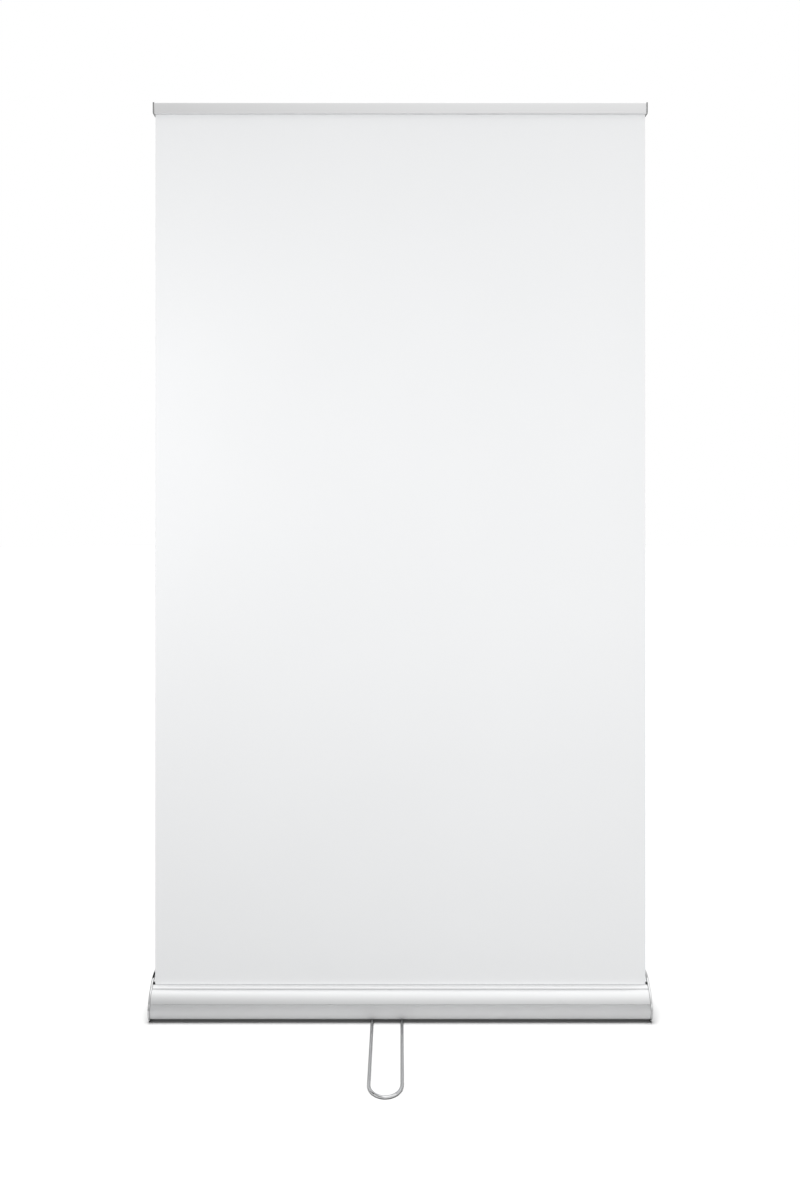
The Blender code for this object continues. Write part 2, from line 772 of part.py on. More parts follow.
def make_collar(name, outer_tube, inner_tube, tube_top, parent=None):
    """A twist collar on the end of one tube, with a lip round the tube that slides in it."""
    outer = outer_tube + SLIDE_GAP + COLLAR_WALL
    wide = outer_tube + SLIDE_GAP
    narrow = inner_tube + SLIDE_GAP
    step = SEAT_GAP
    profile = [
        (narrow, COLLAR_LIP),
        (outer - COLLAR_EDGE, COLLAR_LIP),
        (outer, COLLAR_LIP - COLLAR_EDGE),
        (outer, COLLAR_EDGE - COLLAR_GRIP),
        (outer - COLLAR_EDGE, -COLLAR_GRIP),
        (wide, -COLLAR_GRIP),
        (wide, step),
        (narrow, step),
    ]
    collar = turned(name, profile, grey_plastic, closed=True)
    place(collar, (0, 0, tube_top), parent=parent)


def make_pole(rail_axis):
    lower = pipe("pole_lower", POLE_RADIUS, POLE_RADIUS - POLE_WALL, 0, TUBE_LENGTH, aluminium)
    place(lower, (0, 0, POLE_BOTTOM_Z))
    middle = pipe("pole_middle", MID_RADIUS, MID_RADIUS - POLE_WALL, 0, TUBE_LENGTH, aluminium)
    place(middle, (0, 0, MID_BOTTOM_Z))
    upper = pipe("pole_upper", UPPER_RADIUS, UPPER_RADIUS - POLE_WALL, 0, TUBE_LENGTH, aluminium)
    place(upper, (0, 0, POLE_TOP_Z - TUBE_LENGTH - RAIL_Z), parent=rail_axis)
    make_collar("lower_twist_collar", POLE_RADIUS, MID_RADIUS, LOWER_TOP_Z)
    make_collar("upper_twist_collar", MID_RADIUS, UPPER_RADIUS, MID_TOP_Z)


# Top rail, heights above its lower face

def rail_half():
    """The rear half of the rail's outline, from the middle of its ceiling round to its top."""
    ceiling = RAIL_HEIGHT - RAIL_WALL
    lip = RAIL_HALF_DEPTH - RAIL_LIP
    corner = arc_through(
        (RAIL_HALF_DEPTH, RAIL_HEIGHT - RAIL_CORNER),
        (
            RAIL_HALF_DEPTH - RAIL_CORNER * (1 - math.sqrt(0.5)),
            RAIL_HEIGHT - RAIL_CORNER * (1 - math.sqrt(0.5)),
        ),
        (RAIL_HALF_DEPTH - RAIL_CORNER, RAIL_HEIGHT),
        BEND_SEGMENTS,
    )
    return [
        (RIB_INNER, ceiling),
        (RIB_INNER, 0),
        (RIB_OUTER, 0),
        (RIB_OUTER, ceiling),
        (FACE_INNER, ceiling),
        (FACE_INNER, RAIL_WALL),
        (lip, RAIL_WALL),
        (lip, 0),
        (RAIL_HALF_DEPTH, 0),
        *corner,
    ]


def clamp_outline():
    """The rear clamp channel, sprung between the rail's face and the graphic."""
    bottom = RAIL_WALL + SEAT_GAP
    top = bottom + CLAMP_HEIGHT
    return [
        (CLAMP_INNER, bottom),
        (CLAMP_INNER + RAIL_WALL, bottom),
        (CLAMP_INNER + RAIL_WALL, top - RAIL_WALL),
        (CLAMP_OUTER - RAIL_WALL, top - RAIL_WALL),
        (CLAMP_OUTER - RAIL_WALL, bottom),
        (CLAMP_OUTER, bottom),
        (CLAMP_OUTER, top),
        (CLAMP_INNER, top),
    ]


def make_rail_cap(name, side, rail_axis):
    """An end cap, with two spigots that plug into the rail's channels."""
    outline = rounded_rectangle(
        RAIL_HALF_DEPTH + CAP_OVERHANG,
        -CAP_OVERHANG,
        RAIL_HEIGHT + CAP_OVERHANG,
        CAP_CORNER,
        BEND_SEGMENTS,
    )
    cap = flat_piece(name, outline, CAP_THICKNESS, cap_plastic)
    x = GRAPHIC_WIDTH / 2 + SEAT_GAP + CAP_THICKNESS / 2
    place(cap, (side * x, 0, 0), SECTION_TURN, rail_axis)
    top = RAIL_HEIGHT - RAIL_WALL - SEAT_GAP
    inner = RIB_OUTER + SEAT_GAP
    outer = FACE_INNER - SEAT_GAP
    reach = CAP_SPIGOT_LENGTH + CAP_THICKNESS / 2
    spigot_x = GRAPHIC_WIDTH / 2 - CAP_SPIGOT_LENGTH + reach / 2
    for y_side, y_word in ((-1, "front"), (1, "rear")):
        spigot = block(
            f"{name}_{y_word}_spigot", (reach, outer - inner, CAP_SPIGOT_HEIGHT), None
        )
        middle = (side * spigot_x, y_side * (inner + outer) / 2, top - CAP_SPIGOT_HEIGHT / 2)
        place(spigot, middle, parent=rail_axis)
        combine(cap, spigot, "UNION")


def make_rail(rail_axis):
    half = rail_half()
    rail = flat_piece("top_rail", mirrored(half) + half, GRAPHIC_WIDTH, rail_aluminium)
    place(rail, (0, 0, 0), SECTION_TURN, rail_axis)
    clamp = clamp_outline()
    for word, outline in (("front", mirrored(clamp)), ("rear", clamp)):
        channel = flat_piece(word + "_clamp_channel", outline, GRAPHIC_WIDTH, rail_aluminium)
        place(channel, (0, 0, 0), SECTION_TURN, rail_axis)
    make_rail_cap("rail_cap_left", -1, rail_axis)
    make_rail_cap("rail_cap_right", 1, rail_axis)


def make_pole_head(rail_axis):
    """The block that carries the rail, on a spigot in the upper tube."""
    top = RAIL_HEIGHT - RAIL_WALL - SEAT_GAP
    head = block("pole_head", (HEAD_LENGTH, 2 * (RIB_INNER - SEAT_GAP), top), grey_plastic)
    place(head, (0, 0, top / 2), parent=rail_axis)
    neck_bottom = SEAT_GAP - HEAD_NECK
    spigot_radius = UPPER_RADIUS - POLE_WALL - SEAT_GAP
    profile = [
        (0, top / 2),
        (UPPER_RADIUS, top / 2),
        (UPPER_RADIUS, neck_bottom),
        (spigot_radius, neck_bottom),
        (spigot_radius, neck_bottom - HEAD_SPIGOT),
        (0, neck_bottom - HEAD_SPIGOT),
    ]
    neck = turned("pole_head_neck", profile, None)
    place(neck, (0, 0, 0), parent=rail_axis)
    combine(head, neck, "UNION")


# Wire feet, about their pivots

def loop_points():
    """The wire's middle line: down out of the block, out, round the end and back."""
    bend = BLOCK_BOTTOM_Z - WIRE_RADIUS
    half = []
    top_z = BLOCK_TOP_Z - SEAT_GAP
    half.append((LOOP_HALF_WIDTH, 0, top_z))
    for i in range(BEND_SEGMENTS + 1):
        angle = math.pi / 2 * i / BEND_SEGMENTS
        y = bend * (math.cos(angle) - 1)
        half.append((LOOP_HALF_WIDTH, y, WIRE_Z + bend * (1 - math.sin(angle))))
    centre_y = LOOP_HALF_WIDTH + PIVOT_Y - LOOP_END_Y
    end = []
    for i in range(LOOP_SEGMENTS + 1):
        angle = math.pi * i / LOOP_SEGMENTS
        x = LOOP_HALF_WIDTH * math.cos(angle)
        end.append((x, centre_y - LOOP_HALF_WIDTH * math.sin(angle), WIRE_Z))
    return half + end + [(-x, y, z) for x, y, z in reversed(half)]


def make_foot(word, side):
    """A wire loop in its swivel block, and the screw that they turn on."""
    turn = (0, 0, 0) if side < 0 else TURNED_BACK
    axis = make_axis(word + "_foot_axis", (side * PIVOT_X, side * PIVOT_Y, 0))
    axis.rotation_euler = turn
    loop = wire(word + "_foot_wire", loop_points(), WIRE_RADIUS, chrome, 2)
    place(loop, (0, 0, 0), parent=axis)
    height = BLOCK_TOP_Z - BLOCK_BOTTOM_Z
    swivel = block(
        word + "_foot_block",
        (2 * BLOCK_HALF_LENGTH, BLOCK_DEPTH, height),
        dark_plastic,
        BLOCK_CORNER,
        upright_only=True,
    )
    place(swivel, (0, 0, BLOCK_BOTTOM_Z + height / 2), parent=axis)
    through = (BLOCK_BOTTOM_Z - CUT_MARGIN, BLOCK_TOP_Z + CUT_MARGIN)
    for x, hole_word in ((-LOOP_HALF_WIDTH, "left"), (LOOP_HALF_WIDTH, "right")):
        hole = rod(f"{word}_{hole_word}_wire_hole", WIRE_RADIUS + SEAT_GAP, *through, None)
        place(hole, (x, 0, 0), parent=axis)
        combine(swivel, hole, "DIFFERENCE")
    bore = turned(
        word + "_pivot_bore",
        [
            (0, through[1]),
            (PIVOT_RADIUS + RUNNING_GAP, through[1]),
            (PIVOT_RADIUS + RUNNING_GAP, PIVOT_HEAD_TOP_Z + RUNNING_GAP),
            (PIVOT_HEAD_RADIUS + RUNNING_GAP, PIVOT_HEAD_TOP_Z + RUNNING_GAP),
            (PIVOT_HEAD_RADIUS + RUNNING_GAP, through[0]),
            (0, through[0]),
        ],
        None,
    )
    place(bore, (0, 0, 0), parent=axis)
    combine(swivel, bore, "DIFFERENCE")
    screw = turned(
        word + "_pivot_screw",
        [
            (0, FLOOR_TOP_Z),
            (PIVOT_RADIUS, FLOOR_TOP_Z),
            (PIVOT_RADIUS, PIVOT_HEAD_TOP_Z),
            (PIVOT_HEAD_RADIUS, PIVOT_HEAD_TOP_Z),
            (PIVOT_HEAD_RADIUS, PIVOT_HEAD_TOP_Z - PIVOT_HEAD),
            (0, PIVOT_HEAD_TOP_Z - PIVOT_HEAD),
        ],
        steel,
    )
    place(screw, (side * PIVOT_X, side * PIVOT_Y, 0))


for old in list(bpy.data.objects):
    bpy.data.objects.remove(old)

stand = make_collection(STAND_NAME)
cutters = make_collection(CUTTERS_NAME)

aluminium = make_material("satin_aluminium", (0.62, 0.63, 0.64), 0.35, 1)
cover_aluminium = make_material("cover_aluminium", (0.78, 0.79, 0.80), 0.3, 1)
rail_aluminium = make_material("rail_aluminium", (0.70, 0.70, 0.71), 0.35, 1)
chrome = make_material("chrome", (0.80, 0.80, 0.81), 0.08, 1)
steel = make_material("zinc_steel", (0.55, 0.55, 0.56), 0.35, 1)
spring_steel = make_material("spring_steel", (0.30, 0.31, 0.33), 0.4, 1)
grey_plastic = make_material("grey_plastic", (0.30, 0.30, 0.31), 0.5, 0)
cap_plastic = make_material("cap_plastic", (0.36, 0.36, 0.37), 0.5, 0)
dark_plastic = make_material("dark_plastic", (0.05, 0.05, 0.05), 0.5, 0)
rubber = make_material("foot_rubber", (0.03, 0.03, 0.03), 0.85, 0)
film = make_material("banner_film", (0.86, 0.86, 0.86), 0.6, 0)

make_tray()
make_side_cover("front_cover", -1)
make_side_cover("rear_cover", 1)
make_centre_cover()
make_end_plate("end_plate_left", -1)
make_end_plate("end_plate_right", 1)
make_rubber_feet()
make_socket()
for side_word, side_sign in (("front", -1), ("rear", 1)):
    make_roller(side_word, side_sign)
    make_graphic(side_word, side_sign)
    make_foot(side_word, side_sign)
rail_slide_axis = make_axis("rail_slide_axis", (0, 0, RAIL_Z))
make_rail(rail_slide_axis)
make_pole_head(rail_slide_axis)
make_pole(rail_slide_axis)
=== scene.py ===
import math

import bmesh
import bpy
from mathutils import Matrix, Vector


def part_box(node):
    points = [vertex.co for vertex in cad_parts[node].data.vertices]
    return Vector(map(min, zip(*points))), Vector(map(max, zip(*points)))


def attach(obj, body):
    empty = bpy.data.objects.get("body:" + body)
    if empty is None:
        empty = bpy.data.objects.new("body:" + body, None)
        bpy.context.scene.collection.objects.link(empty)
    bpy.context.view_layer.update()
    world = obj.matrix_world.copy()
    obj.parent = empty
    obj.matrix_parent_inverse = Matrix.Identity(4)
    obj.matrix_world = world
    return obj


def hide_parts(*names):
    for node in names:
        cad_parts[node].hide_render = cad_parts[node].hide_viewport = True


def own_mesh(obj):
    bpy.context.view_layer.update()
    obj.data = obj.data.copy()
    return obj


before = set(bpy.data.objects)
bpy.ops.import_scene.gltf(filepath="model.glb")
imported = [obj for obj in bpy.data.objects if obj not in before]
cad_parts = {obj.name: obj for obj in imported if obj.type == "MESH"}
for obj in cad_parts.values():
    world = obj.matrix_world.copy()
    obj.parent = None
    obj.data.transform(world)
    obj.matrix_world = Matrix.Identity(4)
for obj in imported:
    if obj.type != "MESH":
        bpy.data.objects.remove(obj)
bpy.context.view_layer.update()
scene = bpy.context.scene
print("frame loaded:", len(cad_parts), "nodes")

# Camera: the axis meets an 800 x 1200 picture at the pixel named here

cameraSet = {
    "place": (0.0, -2.85706, 1.23267),
    "pitch": 0.01413,
    "focalPixels": 1155.16,
    "frameSize": (800, 1200),
    "axisPixel": (400.27, 528.92),
    "sensor": 36.0,
    "clipEnd": 200,
}
cameraData = bpy.data.cameras.new("photoCamera")
camera = bpy.data.objects.new("photoCamera", cameraData)
scene.collection.objects.link(camera)
camera.location = cameraSet["place"]
camera.rotation_euler = (math.pi / 2 - cameraSet["pitch"], 0, 0)
frameWide, frameTall = cameraSet["frameSize"]
cameraData.sensor_width = cameraSet["sensor"]
cameraData.lens = cameraSet["focalPixels"] / frameTall * cameraSet["sensor"]
cameraData.shift_x = (frameWide / 2 - cameraSet["axisPixel"][0]) / frameTall
cameraData.shift_y = (cameraSet["axisPixel"][1] - frameTall / 2) / frameTall
cameraData.clip_end = cameraSet["clipEnd"]
scene.camera = camera
print("camera set")


# Nodes: a Signal is a socket that Python's own operators work on

class Signal:
    def __init__(self, graph, socket):
        self.graph = graph
        self.socket = socket

    def maths(self, operation, first, second):
        return self.graph.node("ShaderNodeMath", {0: first, 1: second}, operation=operation)

    def __add__(self, other):
        return self.maths("ADD", self, other)

    def __sub__(self, other):
        return self.maths("SUBTRACT", self, other)

    def __rsub__(self, other):
        return self.maths("SUBTRACT", other, self)

    def __mul__(self, other):
        return self.maths("MULTIPLY", self, other)

    __radd__ = __add__
    __rmul__ = __mul__


class Graph:
    def __init__(self, tree):
        self.tree = tree

    def feed(self, target, value):
        for item in value if isinstance(value, list) else [value]:
            if isinstance(item, Signal):
                self.tree.links.new(item.socket, target)
            else:
                target.default_value = item

    def node(self, kind, sockets, output=0, stops=None, **settings):
        made = self.tree.nodes.new(kind)
        for setting, value in settings.items():
            setattr(made, setting, value)
        if stops:
            elements = made.color_ramp.elements
            while len(elements) < len(stops):
                elements.new(1)
            for element, (place, level) in zip(elements, stops):
                element.position = place
                element.color = (level, level, level, 1)
        for socket, value in sockets.items():
            self.feed(made.inputs[socket], value)
        return Signal(self, made.outputs[output])

    def mix(self, share, first, second):
        return self.node("ShaderNodeMix", {0: share, 6: first, 7: second}, 2, data_type="RGBA")


# Materials, all on Object coordinates, which are the stand's own metres

def startFinish(name):
    material = bpy.data.materials.new(name)
    material.use_nodes = True
    graph = Graph(material.node_tree)
    shader = material.node_tree.nodes["Principled BSDF"]
    place = graph.node("ShaderNodeTexCoord", {}, "Object")
    return material, graph, shader, place


def noise(graph, place, scale, stretch=(1, 1, 1), detail=2.0):
    drawn = graph.node("ShaderNodeMapping", {"Vector": place, "Scale": stretch})
    return graph.node("ShaderNodeTexNoise", {"Vector": drawn, "Scale": scale, "Detail": detail})


def closeFinish(graph, shader, look, shade, rough, height):
    graph.feed(shader.inputs["Base Color"], graph.mix(shade, look["dark"], look["light"]))
    graph.feed(shader.inputs["Roughness"], rough)
    relief = graph.node(
        "ShaderNodeBump",
        {"Height": height, "Strength": look["relief"], "Distance": look["reliefDepth"]},
    )
    graph.feed(shader.inputs["Normal"], relief)


def makeMetal(name, look):
    material, graph, shader, place = startFinish(name)
    lines = noise(graph, place, look["grain"], look["stretch"], detail=3.0)
    smudge = noise(graph, place, look["smudgeScale"])
    shade = lines * look["lineShare"] + smudge * (1 - look["lineShare"])
    rough = look["roughness"] + (smudge - 0.5) * look["smudge"] + (lines - 0.5) * look["lineRough"]
    closeFinish(graph, shader, look, shade, rough, lines)
    shader.inputs["Metallic"].default_value = look["metallic"]
    shader.inputs["Specular Tint"].default_value = grey(look["edgeTint"])
    return material


def makePlastic(name, look):
    material, graph, shader, place = startFinish(name)
    grain = noise(graph, place, look["grain"])
    cloud = noise(graph, place, look["cloudScale"])
    shade = grain * look["grainShare"] + cloud * (1 - look["grainShare"])
    rough = look["roughness"] + (cloud - 0.5) * look["smudge"]
    closeFinish(graph, shader, look, shade, rough, grain)
    return material


def grey(level, tint=0.0):
    return (level - tint, level, level + tint, 1)


extrusionLook = {
    "metallic": 1.0,
    "stretch": (0.002, 1, 1),  # the draw lines run along X
    "grain": 1400.0,
    "lineShare": 0.6,
    "smudgeScale": 14.0,
    "dark": grey(0.46, 0.004),
    "light": grey(0.58, 0.004),
    "roughness": 0.36,
    "smudge": 0.10,
    "lineRough": 0.10,
    "relief": 0.08,
    "reliefDepth": 0.00005,
    "edgeTint": 1.0,
}
# the covers' aluminium in a darker tone: painted shade for the tray's lower, downward-facing
# walls, also used on the roller tubes
shadedTrayMetal = makeMetal("trayAluminium", {
    **extrusionLook, "metallic": 0.30, "dark": grey(0.36, 0.003), "light": grey(0.405, 0.003),
    "roughness": 0.60,
})
coverMetal = makeMetal("coverAluminium", {
    **extrusionLook, "dark": grey(0.64, 0.004), "light": grey(0.71, 0.004), "roughness": 0.30,
})
railMetal = makeMetal("railAluminium", {
    **extrusionLook, "dark": grey(0.78, 0.003), "light": grey(0.85, 0.003), "roughness": 0.38,
})
poleMetal = makeMetal("poleAluminium", {
    **extrusionLook, "metallic": 0.5, "stretch": (1, 1, 0.006), "dark": grey(0.60),
    "light": grey(0.70), "roughness": 0.34,
})
chromeLook = {
    "metallic": 1.0,
    "stretch": (1, 1, 1),
    "grain": 260.0,
    "lineShare": 0.25,
    "smudgeScale": 22.0,
    "dark": grey(0.58, 0.004),
    "light": grey(0.66, 0.004),
    "roughness": 0.06,
    "smudge": 0.07,
    "lineRough": 0.02,
    "relief": 0.03,
    "reliefDepth": 0.00004,
    "edgeTint": 1.0,
}
chrome = makeMetal("polishedChrome", chromeLook)
wireChrome = makeMetal("chromedWire", {
    **chromeLook, "dark": grey(0.64, 0.004), "light": grey(0.72, 0.004), "roughness": 0.09,
    "edgeTint": 0.45,
})
zincSteel = makeMetal("zincPlatedSteel", {
    **chromeLook, "grain": 900.0, "lineShare": 0.5, "dark": grey(0.40, 0.006),
    "light": grey(0.60, 0.010), "roughness": 0.32, "smudge": 0.12, "relief": 0.15,
})
springSteel = makeMetal("springSteel", {
    **chromeLook, "grain": 700.0, "dark": grey(0.16, 0.004), "light": grey(0.30, 0.008),
    "roughness": 0.38, "relief": 0.12,
})
plasticLook = {
    "grain": 1500.0,
    "grainShare": 0.4,
    "cloudScale": 30.0,
    "dark": grey(0.20, 0.002),
    "light": grey(0.25, 0.002),
    "roughness": 0.50,
    "smudge": 0.12,
    "relief": 0.35,
    "reliefDepth": 0.0001,
}
greyPlastic = makePlastic("greyMouldedPlastic", plasticLook)
capPlastic = makePlastic("railCapPlastic", {
    **plasticLook, "dark": grey(0.20), "light": grey(0.25), "roughness": 0.46,
})
darkPlastic = makePlastic("darkMouldedPlastic", {
    **plasticLook, "dark": grey(0.022), "light": grey(0.036), "roughness": 0.48,
})
rubber = makePlastic("footRubber", {
    **plasticLook, "grain": 2200.0, "dark": grey(0.014), "light": grey(0.028),
    "roughness": 0.86, "smudge": 0.08, "relief": 0.6,
})
film = makePlastic("matteBannerFilm", {
    **plasticLook, "grain": 1900.0, "cloudScale": 2.6, "dark": (0.778, 0.785, 0.792, 1),
    "light": (0.818, 0.825, 0.832, 1), "roughness": 0.58, "smudge": 0.06, "relief": 0.08,
    "reliefDepth": 0.00005,
})
print("materials made")


# Shapes: a section is a line of (y, z) points with its outside on the right

roundSteps = {
    "rib": 12, "shank": 24, "port": 30, "hole": 32, "head": 40, "bore": 48, "neck": 64, "tube": 96,
}
creases = {"bevelled": 38, "sharp": 35}  # degrees between faces from which an edge counts
depthSides = (("front", -1), ("rear", 1))
endSides = (("left", -1), ("right", 1))


def arcThrough(start, middle, end, steps):
    (ax, ay), (bx, by), (cx, cy) = start, middle, end
    twiceArea = 2 * (ax * (by - cy) + bx * (cy - ay) + cx * (ay - by))
    a2, b2, c2 = ax * ax + ay * ay, bx * bx + by * by, cx * cx + cy * cy
    ox = (a2 * (by - cy) + b2 * (cy - ay) + c2 * (ay - by)) / twiceArea
    oy = (a2 * (cx - bx) + b2 * (ax - cx) + c2 * (bx - ax)) / twiceArea
    radius = math.hypot(ax - ox, ay - oy)
    first = math.atan2(ay - oy, ax - ox)
    sweep = math.remainder(math.atan2(cy - oy, cx - ox) - first, 2 * math.pi)
    halfway = math.remainder(math.atan2(by - oy, bx - ox) - first, 2 * math.pi)
    if sweep * halfway < 0:
        sweep -= math.copysign(2 * math.pi, sweep)
    angles = [first + sweep * i / steps for i in range(steps + 1)]
    return [(ox + radius * math.cos(a), oy + radius * math.sin(a)) for a in angles]


def bulged(start, end, crown, steps):
    dy, dz = end[0] - start[0], end[1] - start[1]
    chord = math.hypot(dy, dz)
    middle = (
        (start[0] + end[0]) / 2 + crown * dz / chord,
        (start[1] + end[1]) / 2 - crown * dy / chord,
    )
    return arcThrough(start, middle, end, steps)


def mirrored(line):
    return [(-y, z) for y, z in reversed(line)]


def direction(start, end):
    length = math.dist(start, end)
    return (end[0] - start[0]) / length, (end[1] - start[1]) / length


def sideways(line, distance):
    # moves a line to its right, with mitred corners
    ways = [direction(a, b) for a, b in zip(line, line[1:])]
    moved = []
    for i, (y, z) in enumerate(line):
        ty, tz = ways[max(i - 1, 0)]
        uy, uz = ways[min(i, len(ways) - 1)]
        share = distance / (1 + ty * uy + tz * uz)
        moved.append((y + (tz + uz) * share, z - (ty + uy) * share))
    return moved


def walled(line, wall):
    # the closed outline of a sheet that is thickened inwards
    return line + list(reversed(sideways(line, -wall)))


def roundedBox(halfWide, bottom, top, corner, steps, centre=(0, 0)):
    left, right, low, high = corner - halfWide, halfWide - corner, bottom + corner, top - corner
    outline = []
    for turn, (a, b) in enumerate(((right, high), (left, high), (left, low), (right, low))):
        for i in range(steps + 1):
            angle = math.pi / 2 * (turn + i / steps)
            outline.append((
                centre[0] + a + corner * math.cos(angle),
                centre[1] + b + corner * math.sin(angle),
            ))
    return outline


def addObject(name, bm, material=None):
    bmesh.ops.recalc_face_normals(bm, faces=bm.faces)
    mesh = bpy.data.meshes.new(name)
    bm.to_mesh(mesh)
    bm.free()
    mesh.shade_smooth()
    obj = bpy.data.objects.new(name, mesh)
    scene.collection.objects.link(obj)
    if material:
        mesh.materials.append(material)
    return obj


def extruded(name, outline, low, high, material=None, upright=False):
    # an outline of (y, z) points drawn along X, or of (x, y) points drawn up along Z
    bm = bmesh.new()
    rings = [
        [bm.verts.new((a, b, end) if upright else (end, a, b)) for a, b in outline]
        for end in (low, high)
    ]
    for ring in rings:
        bm.faces.new(ring)
    for i in range(len(outline)):
        bm.faces.new((rings[0][i - 1], rings[0][i], rings[1][i], rings[1][i - 1]))
    return addObject(name, bm, material)


def lengthwise(name, outline, half, material):
    # as far to the left of the middle as to the right
    return extruded(name, outline, -half, half, material)


def turned(name, profile, steps, centre=(0, 0, 0), facing=0, material=None):
    # a profile of (radius, height) points round Z, or round X where facing is 1 or -1
    bm = bmesh.new()
    rings = []
    for radius, height in profile:
        ring = []
        for i in range(steps if radius else 1):
            angle = 2 * math.pi * i / steps
            across, up = radius * math.cos(angle), radius * math.sin(angle)
            spot = (facing * height, across, up) if facing else (across, up, height)
            ring.append(bm.verts.new(Vector(centre) + Vector(spot)))
        rings.append(ring)
    if profile[0][0] and profile[-1][0]:
        rings.append(rings[0])
    for one, two in zip(rings, rings[1:]):
        if len(one) + len(two) == 2:
            continue  # two points on the axis
        for i in range(steps):
            pairs = ((one, i - 1), (one, i), (two, i), (two, i - 1))
            corners = [ring[at % len(ring)] for ring, at in pairs]
            bm.faces.new(list(dict.fromkeys(corners)))
    return addObject(name, bm, material)


def tubeProfile(outer, inner, low, high):
    return [(outer, high), (outer, low), (inner, low), (inner, high)]


def rodProfile(radius, low, high):
    return [(0, high), (radius, high), (radius, low), (0, low)]


def oblong(left, right, bottom, top):
    return [(left, bottom), (right, bottom), (right, top), (left, top)]


def settle(obj):
    # turns the live modifiers into a plain mesh
    shape = obj.evaluated_get(bpy.context.evaluated_depsgraph_get())
    mesh = bpy.data.meshes.new_from_object(shape)
    obj.modifiers.clear()
    obj.data = mesh


def softEdges(obj, width, segments=2):
    bevel = obj.modifiers.new("softEdges", "BEVEL")
    bevel.width = width
    bevel.segments = segments
    bevel.limit_method = "ANGLE"
    bevel.angle_limit = math.radians(creases["bevelled"])
    bevel.harden_normals = True
    settle(obj)


def sharpen(obj):
    obj.data.set_sharp_from_angle(angle=math.radians(creases["sharp"]))


def combine(obj, others, operation):
    for other in others:
        step = obj.modifiers.new(other.name, "BOOLEAN")
        step.operation = operation
        step.solver = "EXACT"
        step.object = other
    settle(obj)
    for other in others:
        bpy.data.objects.remove(other)
    obj.data.shade_smooth()


def dress(obj, body, slotName, *nodes):
    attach(obj, body)
    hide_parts(*nodes)


# Geometry Nodes: named inputs, then Realize Instances and Set Material

def startTree(name, sizes):
    # each size is an input of its own name, and whole numbers are counts
    tree = bpy.data.node_groups.new(name, "GeometryNodeTree")
    sockets = {"Geometry": "Geometry"}
    for label, size in sizes.items():
        sockets[label] = "Int" if isinstance(size, int) else "Float"
    for label, kind in sockets.items():
        tree.interface.new_socket(label, in_out="INPUT", socket_type="NodeSocket" + kind)
    tree.interface.new_socket("Geometry", in_out="OUTPUT", socket_type="NodeSocketGeometry")
    graph = Graph(tree)
    entry = tree.nodes.new("NodeGroupInput")
    return graph, {label: Signal(graph, entry.outputs[label]) for label in sockets}


def closeTree(graph, shape, material):
    real = graph.node("GeometryNodeRealizeInstances", {"Geometry": shape})
    painted = graph.node("GeometryNodeSetMaterial", {"Geometry": real, "Material": material})
    end = graph.tree.nodes.new("NodeGroupOutput")
    graph.feed(end.inputs[0], painted)
    return graph.tree


def grow(obj, tree, sizes):
    modifier = obj.modifiers.new(tree.name, "NODES")
    modifier.node_group = tree
    for item in tree.interface.items_tree:
        if item.in_out == "INPUT" and item.name in sizes:
            modifier[item.identifier] = sizes[item.name]
    settle(obj)
    obj.data.shade_smooth()
    sharpen(obj)


def pointMesh(name, spots, edges, label, kind):
    # a bare mesh for a tree to work on: each spot is a place and its value
    mesh = bpy.data.meshes.new(name)
    mesh.from_pydata([place for place, value in spots], edges, [])
    layer = mesh.attributes.new(label, kind, "POINT")
    for item, (place, value) in zip(layer.data, spots):
        setattr(item, "vector" if kind == "FLOAT_VECTOR" else "value", value)
    obj = bpy.data.objects.new(name, mesh)
    scene.collection.objects.link(obj)
    return obj


def raised(graph, shape, height):
    up = graph.node("ShaderNodeCombineXYZ", {"Z": height})
    return graph.node("GeometryNodeTransform", {"Geometry": shape, "Translation": up})


# Base section

section = {
    "floor": (0.069, 0.0145),
    "soleInner": (0.0725, 0.0074),
    "sole": (0.0795, 0.0074),
    "bulge": (0.0875, 0.029),
    "trayTop": (0.0802, 0.0431),
    "coverBottom": (0.0802, 0.0433),
    "shoulder": (0.0571, 0.0711),
    "crown": 0.0035,
    "slot": (0.046, 0.078),
    "ridge": 0.0965,
    "slotInner": (0.044, 0.078),
    "halfLength": 0.6047,
    "trayWall": 0.0018,
    "coverWall": 0.0015,
    "steps": 24,
    "domeSteps": 48,
    "edge": 0.0002,
    "portRadius": 0.0034,
    "portBore": 0.0018,
    "portInset": 0.0005,
}
halfBase = section["halfLength"]
lowerWall = arcThrough(section["sole"], section["bulge"], section["trayTop"], section["steps"])
crown = bulged(section["coverBottom"], section["shoulder"], section["crown"], section["steps"])


def screwPort(name, y, z):
    half = halfBase - section["portInset"]
    profile = tubeProfile(section["portRadius"], section["portBore"], -half, half)
    return turned(name, profile, roundSteps["port"], (0, y, z), 1)


def middleOf(name):
    low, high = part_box(name)
    return (low + high) / 2


countersink = {"wide": 0.0034, "depth": 0.0019, "hole": 0.0018}


def sinkProfile(face, way, start, end):
    # a screw's hole from start, outside the face, to end, inside it
    wide, hole = countersink["wide"], countersink["hole"]
    bottom = face + way * countersink["depth"]
    return [(0, start), (wide, start), (wide, face), (hole, bottom), (hole, end), (0, end)]


# Base tray

